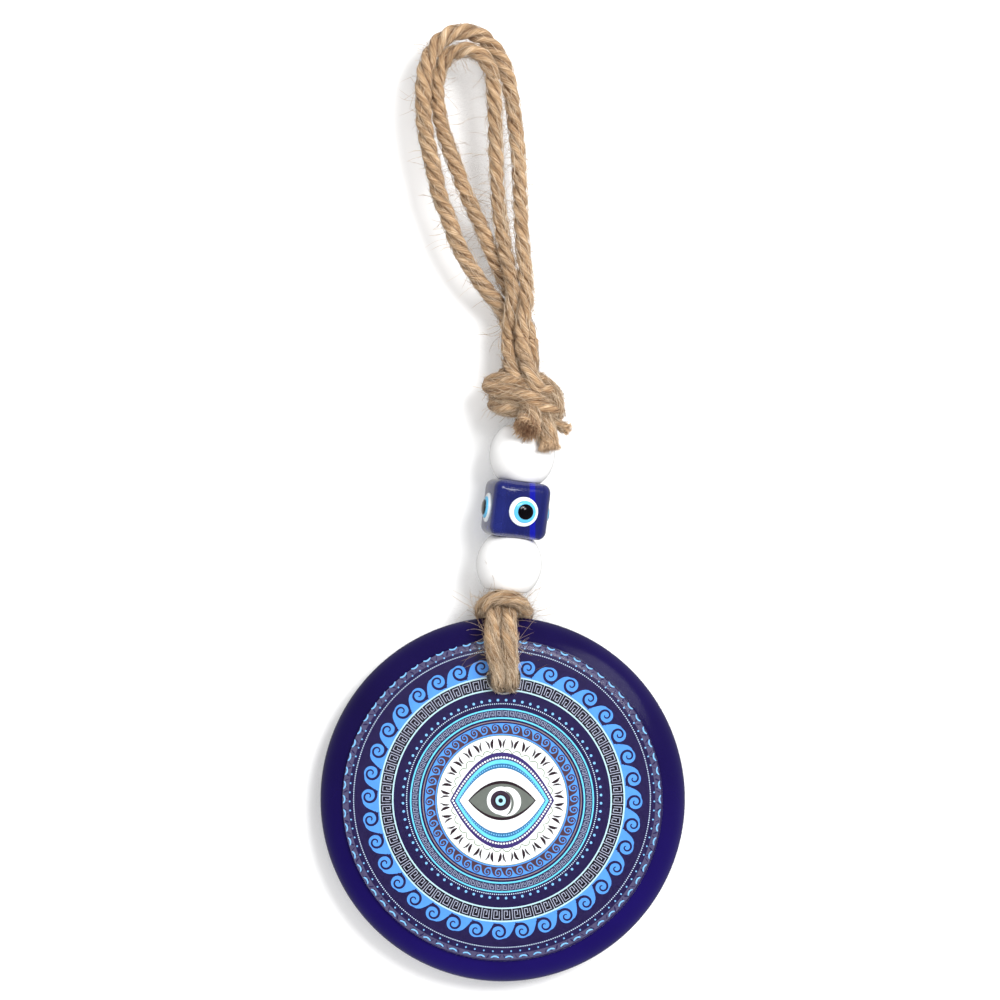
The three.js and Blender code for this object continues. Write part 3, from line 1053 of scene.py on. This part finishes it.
glazedWhite = mottledMaterial(
    "glazedWhite", rgb(243, 242, 241), 0.16, 60, 0.012, bump=0.05, bumpDepth=0.4 * mm,
    **{"Coat Weight": 0.5, "Coat Roughness": 0.05, "Specular IOR Level": 0.5},
)


def beadProfile():
    # the bulging side as part of an ellipse, and small rounds where the bore opens
    reach = math.acos(bead["landRadius"] / bead["radius"])
    tall = bead["halfHeight"] / math.sin(reach)
    side = []
    for step in range(-16, 17):
        angle = reach * step / 16
        side.append((bead["radius"] * math.cos(angle), tall * math.sin(angle)))
    lip = bead["boreRadius"] + bead["lipRound"]
    foot = (bead["boreRadius"], bead["halfHeight"] - bead["lipRound"])
    top = quarterRound(foot, (lip, bead["halfHeight"]), 4)
    upper = list(reversed(top))
    lower = [(radius, -height) for radius, height in top]
    return lower + side + upper


def addBead(name, node, body, middle):
    bm = spunSolid(beadProfile(), bead["segments"])
    bmesh.ops.transform(bm, matrix=Matrix.Translation(middle) @ stringTurn, verts=bm.verts)
    piece = addPiece(name, bm, glazedWhite, sharpDegrees=50, slot="white_glass")
    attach(piece, body)
    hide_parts(node)


addBead("lowerBead", "lower_bead", "lower_bead", stringFoot)
addBead("upperBead", "upper_bead", "upper_bead", stringTop)

cube = {
    "side": 12.6 * mm,
    "height": 12.3 * mm,
    "edge": 2.0 * mm,
    "yaw": 12,
    "eyeDrop": -0.3 * mm,
    "streakRight": 2.2 * mm,
    "streakEdge": (0.8 * mm, 0.4 * mm),
    "streakShare": 0.8,
    "eyes": {
        # radius, foot, crown and sideways shift in millimetres
        "White": (3.2, -0.25, 0.72, 0.4),
        "Blue": (2.42, 0.3, 1.02, 0.6),
        "Pupil": (1.7, 0.6, 1.34, 0.7),
    },
}


def cubeMaterial(deep, bright, paintedLightStreak):
    material, tree, surface = newMaterial("cobaltCube", 0.06, **{
        "Transmission Weight": 0.55, "IOR": 1.5, "Coat Weight": 0.6, "Coat Roughness": 0.03})
    where = addNode(tree, "TexCoord")
    swirl = addNoise(tree, where.outputs["Object"], 55, 3)
    glass = blendOf(tree, spread(tree, swirl, 0.38, 0.68), deep, bright)
    # painted light: a bright blue band of light, upright beside the bore
    split = addNode(tree, "SeparateXYZ", where.outputs["Object"])
    off = addNode(tree, "Math", split.outputs["X"], stringTop.x + cube["streakRight"], operation="SUBTRACT")
    away = addNode(tree, "Math", off.outputs[0], operation="ABSOLUTE")
    share = spread(tree, away.outputs[0], *cube["streakEdge"], 0, cube["streakShare"], smooth=True)
    feed(tree, blendOf(tree, share, glass, paintedLightStreak), surface.inputs["Base Color"])
    addBump(tree, swirl, 0.08, 0.6 * mm, surface.inputs["Normal"])
    return material


cobaltCube = cubeMaterial(rgb(42, 46, 112), rgb(52, 62, 150), rgb(30, 36, 214))
eyeWhite = mottledMaterial("eyeWhite", rgb(238, 245, 250), 0.1, 400, 0.02, **{"Coat Weight": 0.6})
eyeBlue = mottledMaterial("eyeBlue", rgb(92, 186, 230), 0.1, 500, 0.06, **{"Coat Weight": 0.6})
eyeBlack = mottledMaterial("eyeBlack", rgb(12, 11, 15), 0.08, 500, 0.3, **{"Coat Weight": 0.8})
eyeFinish = {
    "White": (eyeWhite, "eye_white_glass"),
    "Blue": (eyeBlue, "eye_blue_glass"),
    "Pupil": (eyeBlack, "eye_black_glass"),
}


def addCube():
    place = Matrix.Translation(stringFoot + stringAxis * beadStep) @ stringTurn
    place = place @ Matrix.Rotation(math.radians(cube["yaw"]), 4, "Z")
    bm = bmesh.new()
    bmesh.ops.create_cube(bm, size=1)
    bmesh.ops.scale(bm, vec=(cube["side"], cube["side"], cube["height"]), verts=bm.verts)
    bmesh.ops.bevel(bm, geom=list(bm.edges), offset=cube["edge"], offset_type="OFFSET", segments=6,
                    profile=0.5, affect="EDGES", material=-1)
    drill = bmesh.new()
    bmesh.ops.create_cone(drill, cap_ends=True, segments=48, radius1=bead["boreRadius"],
                          radius2=bead["boreRadius"], depth=cube["height"] * 2)
    bm = cutAway(bm, drill)
    bmesh.ops.transform(bm, matrix=place, verts=bm.verts)
    piece = addPiece("cubeBead", bm, cobaltCube, sharpDegrees=30, slot="cobalt_glass")
    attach(piece, "eye_bead")
    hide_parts("cube_bead")
    for number, side in enumerate(("Front", "Right", "Back", "Left")):
        face = place @ Matrix.Rotation(number * math.pi / 2, 4, "Z")
        face = face @ Matrix.Translation((0, -cube["side"] / 2, 0)) @ Matrix.Rotation(math.pi / 2, 4, "X")
        for part, (radius, low, high, shift) in cube["eyes"].items():
            crown = quarterRound((radius * mm, low * mm + 0.5 * (high - low) * mm), (0, high * mm), 8)
            bm = spunSolid([(0, low * mm), (radius * mm, low * mm), *crown], 40)
            spot = Matrix.Translation((shift * mm, cube["eyeDrop"], 0))
            bmesh.ops.transform(bm, matrix=face @ spot, verts=bm.verts)
            finish, slot = eyeFinish[part]
            eye = addPiece(f"eye{part}{side}", bm, finish, sharpDegrees=50, slot=slot)
            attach(eye, "eye_bead")
            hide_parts(f"eye_{part.lower()}_{side.lower()}")


addCube()
print("beads and the four eyes made")


# the glass disc, its print and the clear dome

disc = {
    "radius": 40.0 * mm,
    "thickness": 5.0 * mm,
    "printRadius": 34.9 * mm,
    "domeThickness": 1.0 * mm,
    "touchGap": 0.02 * mm,
    "slopeEnd": 38,
    "backRound": 2.0 * mm,
    "backHeight": 1.7 * mm,
    "creaseOut": 0.45 * mm,
    "creaseWidth": 0.5 * mm,
    "creaseDrop": 0.12 * mm,
    "domeEdge": 0.2 * mm,
    "domeFlat": 30.5 * mm,
    "domeShine": 0.2,
    "domeIndex": 1.48,
    "glowTop": 22 * mm,
    "glowFoot": -30 * mm,
    "holeRadius": 3.75 * mm,
    "holeAbove": 26.9 * mm,
    "holeRight": 0.2 * mm,
    "segments": 160,
}

discMiddle = centreOf("glass_disc")
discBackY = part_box("glass_disc")[1].y
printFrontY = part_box("printed_layer")[0].y
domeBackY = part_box("clear_dome")[1].y
faceFront = Matrix.Rotation(math.pi / 2, 4, "X")


def atDisc(y):
    # turns a solid built upright so that its top faces the front, with its foot at depth y
    return Matrix.Translation((discMiddle.x, y, discMiddle.z)) @ faceFront


def holeCutter():
    cutter = bmesh.new()
    bmesh.ops.create_cone(cutter, cap_ends=True, segments=64, radius1=disc["holeRadius"],
                          radius2=disc["holeRadius"], depth=0.04)
    spot = Vector((discMiddle.x + disc["holeRight"], 0, discMiddle.z + disc["holeAbove"]))
    bmesh.ops.transform(cutter, matrix=Matrix.Translation(spot) @ faceFront, verts=cutter.verts)
    return cutter


def discMaterial():
    material, tree, surface = newMaterial("cobaltDisc", 0.1, **{
        "Transmission Weight": 0.25, "IOR": 1.42, "Coat Weight": 0.12, "Coat Roughness": 0.06})
    where = addNode(tree, "TexCoord")
    swirl = placeGroup(tree, mottle, Vector=where.outputs["Object"], Color=rgb(255, 255, 255),
                       Scale=28, Amount=0.22)
    # the glass glows more towards the lower rim, where light comes through it
    split = addNode(tree, "SeparateXYZ", where.outputs["Object"])
    drop = spread(tree, split.outputs["Z"], discMiddle.z + disc["glowTop"], discMiddle.z + disc["glowFoot"],
                  smooth=True)
    depth = blendOf(tree, drop, rgb(30, 22, 76), rgb(31, 20, 99))
    tint = addNode(tree, "VectorMath", depth, swirl.outputs["Color"], operation="MULTIPLY")
    feed(tree, tint.outputs[0], surface.inputs["Base Color"])
    addBump(tree, swirl.outputs["Height"], 0.06, 1.5 * mm, surface.inputs["Normal"])
    return material


def domeMaterial():
    # clear resin: it adds its shine over the print and lets the print's colours through
    material = bpy.data.materials.new("clearResin")
    material.use_nodes = True
    tree = material.node_tree
    tree.nodes.clear()
    where = addNode(tree, "TexCoord")
    shine = addNode(tree, "BsdfGlossy")
    shine.inputs["Roughness"].default_value = disc["domeShine"]
    edge = addNode(tree, "Fresnel", disc["domeIndex"])
    ripple = addNoise(tree, where.outputs["Object"], 40)
    addBump(tree, ripple, 0.05, 1 * mm, shine.inputs["Normal"], edge.inputs["Normal"])
    # the wall of the hole and the dome's inner side have no shine of their own
    level = addNode(tree, "VectorMath", where.outputs["Object"], (1, 0, 1), operation="MULTIPLY")
    hole = (discMiddle.x + disc["holeRight"], 0, discMiddle.z + disc["holeAbove"])
    gap = addNode(tree, "VectorMath", level.outputs[0], hole, operation="DISTANCE")
    clearOf = spread(tree, gap.outputs["Value"], disc["holeRadius"] + 0.02 * mm,
                     disc["holeRadius"] + 0.25 * mm)
    side = addNode(tree, "NewGeometry")
    outside = addNode(tree, "Math", clearOf, side.outputs["Backfacing"], operation="SUBTRACT",
                      use_clamp=True)
    amount = addNode(tree, "Math", edge.outputs[0], outside.outputs[0], operation="MULTIPLY")
    clear = addNode(tree, "BsdfTransparent")
    mix = addNode(tree, "MixShader", amount.outputs[0], clear.outputs[0], shine.outputs[0])
    addNode(tree, "OutputMaterial", mix.outputs[0])
    return material


def discProfile():
    # a small round at the back, a full edge, a long slope in, and a crease where it turns flat
    outer = disc["radius"]
    low = disc["backHeight"]
    inner = outer - disc["backRound"]
    profile = [(0, 0), (inner, 0)]
    for step in range(1, 9):
        angle = step / 8 * math.pi / 2
        profile.append((inner + disc["backRound"] * math.sin(angle), low - low * math.cos(angle)))
    last = math.radians(disc["slopeEnd"])
    wide = (outer - disc["printRadius"] - disc["creaseOut"]) / (1 - math.cos(last))
    tall = (disc["thickness"] - disc["creaseDrop"] - low) / math.sin(last)
    for step in range(1, 19):
        angle = step / 18 * last
        profile.append((outer - wide * (1 - math.cos(angle)), low + tall * math.sin(angle)))
    across, up = profile[-1]
    for step in range(1, 6):
        share = step / 5
        profile.append((across - disc["creaseWidth"] * share,
                        up + disc["creaseDrop"] * (1 - (1 - share) ** 2)))
    return [*profile, (0, disc["thickness"])]


def addDisc():
    bm = spunSolid(discProfile(), disc["segments"])
    bmesh.ops.transform(bm, matrix=atDisc(discBackY), verts=bm.verts)
    piece = addPiece("discGlass", cutAway(bm, holeCutter()), discMaterial(), sharpDegrees=35,
                     slot="cobalt_glass")
    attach(piece, "disc")
    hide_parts("glass_disc")
    edge = disc["printRadius"]
    shoulder = quarterRound((edge, disc["domeEdge"]), (disc["domeFlat"], disc["domeThickness"]), 14)
    foot = disc["touchGap"] - (printFrontY - domeBackY)
    bm = spunSolid([(0, foot), (edge, foot), *shoulder, (0, disc["domeThickness"])], disc["segments"])
    bmesh.ops.transform(bm, matrix=atDisc(domeBackY), verts=bm.verts)
    dome = addPiece("discDome", cutAway(bm, holeCutter()), domeMaterial(), sharpDegrees=35,
                    slot="clear_resin")
    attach(dome, "disc")
    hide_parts("clear_dome")


addDisc()
print("glass disc and dome made")


# the print: flat inks laid one over another, each a thin solid of its own

inks = {
    "navy": rgb(32, 21, 76),
    "blue": rgb(78, 148, 232),
    "mint": rgb(184, 220, 230),
    "cyan": rgb(104, 210, 250),
    "keyGrey": rgb(178, 184, 208),
    "keyBlack": rgb(22, 18, 34),
    "keyShade": rgb(46, 48, 84),
    "keyMist": rgb(150, 160, 190),
    "brown": rgb(78, 52, 66),
    "paper": rgb(250, 254, 255),
    "violet": rgb(58, 42, 110),
    "iris": rgb(58, 40, 60),
    # partly print colour, partly painted reflection of the dome's shoulder
    "printAndReflectionHaze": rgb(80, 76, 112),
    "leaf": rgb(44, 26, 36),
    "olive": rgb(118, 138, 110),
    "sky": rgb(124, 190, 244),
    "mist": rgb(206, 230, 255),
    "teal": rgb(42, 112, 160),
    "stone": rgb(106, 112, 106),
    "line": rgb(140, 124, 134),
    "shade": rgb(126, 122, 128),
    "pale": rgb(170, 216, 240),
}

printMiddle = Vector((discMiddle.x - 0.15 * mm, 0, discMiddle.z + 0.1 * mm))
inkStep = 0.012 * mm
inkRoot = 0.03 * mm
outerLift = 0.3 * mm


def inkMaterial(name):
    return mottledMaterial(f"{name}Ink", inks[name], 0.42, 900, 0.02 if name == "paper" else 0.06)


def polar(turn, radius):
    # turn runs clockwise from the top as seen from the front, in degrees; radius is in millimetres
    angle = math.radians(turn)
    return Vector((math.sin(angle) * radius * mm, 0, math.cos(angle) * radius * mm))


def flat(x, z):
    return Vector((x * mm, 0, z * mm))


def ring(bm, inner, outer, segments=180):
    # a flat band between two radii
    made = bmesh.ops.create_circle(bm, cap_ends=False, segments=segments, radius=inner * mm,
                                   matrix=Matrix.Rotation(math.pi / 2, 4, "X"))
    edges = list({edge for vert in made["verts"] for edge in vert.link_edges})
    wider = bmesh.ops.extrude_edge_only(bm, edges=edges)
    moved = [item for item in wider["geom"] if isinstance(item, bmesh.types.BMVert)]
    bmesh.ops.scale(bm, vec=(outer / inner, 1, outer / inner), verts=moved)


def dot(bm, place, radius, sides):
    bmesh.ops.create_circle(bm, cap_ends=True, segments=sides, radius=radius * mm,
                            matrix=Matrix.Translation(place) @ Matrix.Rotation(math.pi / 2, 4, "X"))


def shape(bm, outline):
    bm.faces.new([bm.verts.new(point) for point in outline])


def stroke(bm, line, widths):
    # a band along a flat line; widths is one value, or one for each point
    count = len(line)
    if not isinstance(widths, (list, tuple)):
        widths = [widths] * count
    rails = []
    for number, point in enumerate(line):
        into = (point - line[number - 1]).normalized() if number else None
        away = (line[number + 1] - point).normalized() if number < count - 1 else None
        into, away = into or away, away or into
        normal = Vector((-(into.z + away.z), 0, into.x + away.x)).normalized()
        half = widths[number] * mm / 2 / max(0.5, normal.dot(Vector((-away.z, 0, away.x))))
        rails.append((bm.verts.new(point + normal * half), bm.verts.new(point - normal * half)))
    for first, second in zip(rails, rails[1:]):
        bm.faces.new((first[0], first[1], second[1], second[0]))


def almond(halfWidth, halfHeight, fullness=2.1, steps=30):
    # a pointed oval about the middle, its long way across
    outline = []
    for sign in (1, -1):
        for step in range(steps):
            x = -sign * halfWidth * math.cos(step / steps * math.pi)
            z = sign * halfHeight * (1 - abs(x / halfWidth) ** fullness)
            outline.append(flat(x, z))
    return outline


def alongLine(line, gap):
    # places spaced evenly along a closed outline
    closed = [*line, line[0]]
    lengths = [(b - a).length for a, b in zip(closed, closed[1:])]
    total = sum(lengths)
    count = round(total / (gap * mm))
    places = []
    index = 0
    passed = 0.0
    for number in range(count):
        target = total * number / count
        while passed + lengths[index] < target:
            passed += lengths[index]
            index += 1
        places.append(closed[index].lerp(closed[index + 1], (target - passed) / lengths[index]))
    return places


def addInk(name, colour, level, build, drilled=False, lift=0.0):
    # build draws flat shapes about the print's middle; they are then given their thickness
    bm = bmesh.new()
    build(bm)
    faces = list(bm.faces)
    bmesh.ops.translate(bm, vec=printMiddle + Vector((0, printFrontY + inkRoot, lift)), verts=bm.verts)
    made = bmesh.ops.extrude_face_region(bm, geom=faces)
    moved = [item for item in made["geom"] if isinstance(item, bmesh.types.BMVert)]
    bmesh.ops.translate(bm, vec=(0, -inkRoot - level * inkStep, 0), verts=moved)
    bmesh.ops.recalc_face_normals(bm, faces=bm.faces)
    if drilled:
        bm = cutAway(bm, holeCutter())
    piece = addPiece(name, bm, inkMaterials[colour], sharpDegrees=30, slot="printed_film")
    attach(piece, "disc")
    return piece


inkMaterials = {name: inkMaterial(name) for name in inks}

waves = {
    "outer": {"count": 36, "headRadius": 29.07, "across": 1.0, "tall": 1.0, "lean": 1, "start": 1.2},
    "inner": {"count": 42, "headRadius": 15.85, "across": 0.467, "tall": 0.55, "lean": -1, "start": 3.0},
    "back": [(-3.80, -2.34), (-3.60, -1.53), (-3.17, -0.80), (-2.72, 0.0), (-2.22, 0.68), (-1.50, 1.22)],
    "headSize": 1.55,
    "headArc": (118, -75),
    "foot": [(0.45, -1.88), (1.27, -1.96), (1.27, -2.34)],
    "curlArc": (-35, -500),
    "curlReach": (1.9, 0.24),
    "curlWidth": (0.62, 0.2),
}


def wavePlacer(kind, number):
    # carries a wave's own points, in millimetres about the middle of its curl, on to the ring
    wave = waves[kind]
    turn = wave["start"] + 360 * number / wave["count"]

    def place(across, up):
        swing = math.degrees(across * wave["across"] * wave["lean"] / wave["headRadius"])
        return polar(turn + swing, wave["headRadius"] + up * wave["tall"])

    return place


def drawWaves(kind):
    def build(bm):
        back = smoothLine([(x, 0, z) for x, z in waves["back"]], fine=4)
        start, end = waves["headArc"]
        for number in range(waves[kind]["count"]):
            place = wavePlacer(kind, number)
            outline = [place(point.x, point.z) for point in back]
            for step in range(17):
                angle = math.radians(start + (end - start) * step / 16)
                across, up = waves["headSize"] * math.cos(angle), waves["headSize"] * math.sin(angle)
                outline.append(place(across, up))
            outline += [place(x, z) for x, z in waves["foot"]]
            # the foot follows the ring back to where the outline began
            heel, height = waves["foot"][-1]
            for step in range(1, 4):
                outline.append(place(heel + (waves["back"][0][0] - heel) * step / 4, height))
            shape(bm, outline)
    return build


def drawCurls(kind):
    def build(bm):
        start, end = waves["curlArc"]
        farReach, nearReach = waves["curlReach"]
        wide, narrow = waves["curlWidth"]
        scale = (waves[kind]["across"] + waves[kind]["tall"]) / 2
        for number in range(waves[kind]["count"]):
            place = wavePlacer(kind, number)
            line = []
            widths = []
            for step in range(31):
                share = step / 30
                angle = math.radians(start + (end - start) * share)
                reach = farReach + (nearReach - farReach) * share ** 0.8
                line.append(place(reach * math.cos(angle), reach * math.sin(angle)))
                widths.append((wide + (narrow - wide) * share) * scale)
            stroke(bm, line, widths)
    return build


def drawRings(bands):
    def build(bm):
        for inner, outer in bands:
            ring(bm, inner, outer)
    return build


def drawDots(rows):
    # rows of (count, radius of the row, size of a dot, its sides)
    def build(bm):
        for count, radius, size, sides in rows:
            for number in range(count):
                dot(bm, polar(360 * (number + 0.5) / count, radius), size, sides)
    return build


def drawKeys(count, inner, outer, width, line):
    # square spirals in cells round a ring, with a bar between each two; line is in shares of a cell
    def build(bm):
        for number in range(count):
            def place(across, up):
                return polar(360 * (number + across) / count, inner + (outer - inner) * up)
            stroke(bm, [place(x, z) for x, z in line], width)
            stroke(bm, [place(0, 0), place(0, 1)], width)
    return build


def drawScallops(count, radius, sag, share, width, steps=6):
    # short arcs that hang between evenly spaced points; sag is outwards, share is how much is drawn
    def build(bm):
        for number in range(count):
            line = []
            for step in range(steps + 1):
                across = (step / steps - 0.5) * share
                bulge = sag * (1 - (2 * across / share) ** 2)
                line.append(polar(360 * (number + 0.5 + across) / count, radius + bulge))
            stroke(bm, line, [width * 0.6] + [width] * (steps - 1) + [width * 0.6])
    return build


def drawLeaves(count, inner, outer, lean, width, offset, curve=1.4):
    # pairs of curved leaf marks that open outwards, one of each pair thicker than the other
    def build(bm):
        for number in range(count):
            for sign in (-1, 1):
                line = []
                for step in range(9):
                    share = step / 8
                    swing = sign * (offset + lean * share ** curve)
                    line.append(polar(360 * number / count + swing, inner + (outer - inner) * share))
                thick = width if sign == (1 if number % 2 else -1) else width * 0.55
                stroke(bm, line, [thick * (0.12 + math.sin(math.pi * step / 8) ** 0.7) for step in range(9)])
    return build


def drawOutline(outline):
    def build(bm):
        shape(bm, outline)
    return build


def addPrint():
    # the ground of the print comes back to the glass
    groundBackY = discBackY - disc["thickness"] - disc["touchGap"]
    deep = groundBackY - printFrontY
    edge = disc["printRadius"]
    base = spunSolid([(0, 0), (edge, 0), (edge, deep), (0, deep)], disc["segments"])
    bmesh.ops.transform(base, matrix=atDisc(groundBackY), verts=base.verts)
    piece = addPiece("printGround", cutAway(base, holeCutter()), inkMaterials["navy"], slot="printed_film")
    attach(piece, "disc")
    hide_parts("printed_layer")

    # partly print, partly painted reflection: this band under the dome's shoulder is paler and greyer for the
    # shoulder's reflection
    addInk("printBandAndPaintedReflection", "printAndReflectionHaze", 1, drawRings([(33.45, 34.75)]))
    addInk("printHazeMarks", "navy", 2, drawLeaves(84, 33.6, 34.6, 1.0, 0.3, 0.5))
    addInk("printRimScallops", "sky", 3, drawScallops(70, 34.62, -0.34, 0.56, 0.3), lift=outerLift)
    addInk("printRimDots", "sky", 2, drawDots([(105, 33.2, 0.19, 8)]), lift=outerLift)
    addInk("printRimFineDots", "mist", 2, drawDots([(420, 32.35, 0.135, 6)]), lift=outerLift)
    addInk("printWaves", "blue", 2, drawWaves("outer"), drilled=True, lift=outerLift)
    addInk("printWaveCurls", "navy", 3, drawCurls("outer"), drilled=True, lift=outerLift)
    addInk("printKeyGround", "keyBlack", 1, drawRings([(23.8, 26.6)]), drilled=True, lift=outerLift)
    key = [(0.26, 0.18), (0.26, 0.84), (0.78, 0.84), (0.78, 0.18), (0.48, 0.18), (0.48, 0.54), (0.6, 0.54)]
    addInk("printKey", "keyGrey", 2, drawKeys(70, 23.95, 26.5, 0.14, key), drilled=True, lift=outerLift)
    mintLines = [(26.5, 26.84), (23.66, 23.98)]
    addInk("printMintLines", "mint", 3, drawRings(mintLines), drilled=True, lift=outerLift)
    addInk("printMiddleDots", "sky", 2, drawDots([(76, 21.6, 0.3, 8)]), lift=outerLift)
    addInk("printMiddleFineDots", "mist", 2, drawDots([(280, 20.8, 0.135, 6)]), lift=outerLift)
    addInk("printInnerKeyGround", "keyShade", 1, drawRings([(18.1, 19.8)]))
    small = [(0.28, 0.2), (0.28, 0.82), (0.76, 0.82), (0.76, 0.2), (0.52, 0.2), (0.52, 0.5)]
    addInk("printInnerKey", "keyMist", 2, drawKeys(84, 18.3, 19.65, 0.13, small))
    addInk("printCyanLines", "cyan", 3, drawRings([(19.75, 20.07), (17.8, 18.14)]))
    addInk("printStoneLine", "line", 3, drawRings([(17.17, 17.38)]))
    addInk("printInnerWaveGround", "blue", 2, drawRings([(14.1, 16.85)]))
    addInk("printInnerWaves", "brown", 3, drawWaves("inner"))
    addInk("printInnerCurls", "blue", 4, drawCurls("inner"))
    addInk("printPaperRing", "paper", 4, drawRings([(0.5, 14.12)]))
    addInk("printPaperEdge", "olive", 5, drawRings([(14.1, 14.26)]))
    addInk("printLeafShades", "shade", 5, drawLeaves(30, 11.7, 13.2, 0.9, 0.3, 0.7, curve=2.0))
    addInk("printLeaves", "leaf", 6, drawLeaves(30, 11.4, 13.6, 2.5, 0.5, 1.5, curve=2.6))
    addInk("printScallops", "olive", 5, drawScallops(30, 10.4, 0.8, 0.98, 0.2, steps=8))
    addInk("printEyeFrame", "violet", 6, drawOutline(almond(11.35, 10.5)))
    frameDots = alongLine(almond(10.74, 9.42), 0.62)
    addInk("printEyeFrameDots", "paper", 8, lambda bm: [dot(bm, place, 0.23, 8) for place in frameDots])
    addInk("printEyeCyan", "cyan", 7, drawOutline(almond(10.2, 8.92)))
    addInk("printEyeTeal", "teal", 8, drawOutline(almond(9.6, 8.1)))
    tealDots = alongLine(almond(9.6, 7.6), 0.55)
    addInk("printEyeTealDots", "sky", 9, lambda bm: [dot(bm, place, 0.17, 6) for place in tealDots])
    addInk("printEyeWhite", "paper", 10, drawOutline(almond(9.25, 7.06)))
    addInk("printEyeLid", "leaf", 11, drawOutline(almond(7.4, 4.32)))
    addInk("printEyeStone", "stone", 12, drawOutline(almond(7.1, 3.66)))

    def discAt(x, radius, z=0.0, sides=48):
        return lambda bm: dot(bm, flat(x, z), radius, sides)

    addInk("printIrisCrescent", "paper", 13, discAt(0.95, 3.2, -0.22))
    addInk("printIrisRing", "paper", 15, discAt(-0.25, 3.05))
    bow = [(0.72, 2.15), (1.6, 1.45), (2.25, 0.1), (2.2, -1.4), (1.65, -2.6), (0.9, -3.2)]
    swoosh = smoothLine([flat(x, z) for x, z in bow], fine=5)
    last = len(swoosh) - 1
    widths = [0.08 + 0.5 * math.sin(math.pi * number / last) for number in range(last + 1)]
    addInk("printIrisSwoosh", "stone", 16, lambda bm: stroke(bm, swoosh, widths))
    addInk("printIrisDark", "iris", 17, discAt(-0.3, 2.2))
    addInk("printIrisRingDark", "leaf", 18, discAt(-0.3, 1.5))
    addInk("printIrisBlue", "pale", 19, discAt(-0.3, 1.12))
    addInk("printPupil", "keyBlack", 20, discAt(-0.3, 0.5))


addPrint()
print("print laid on the disc")
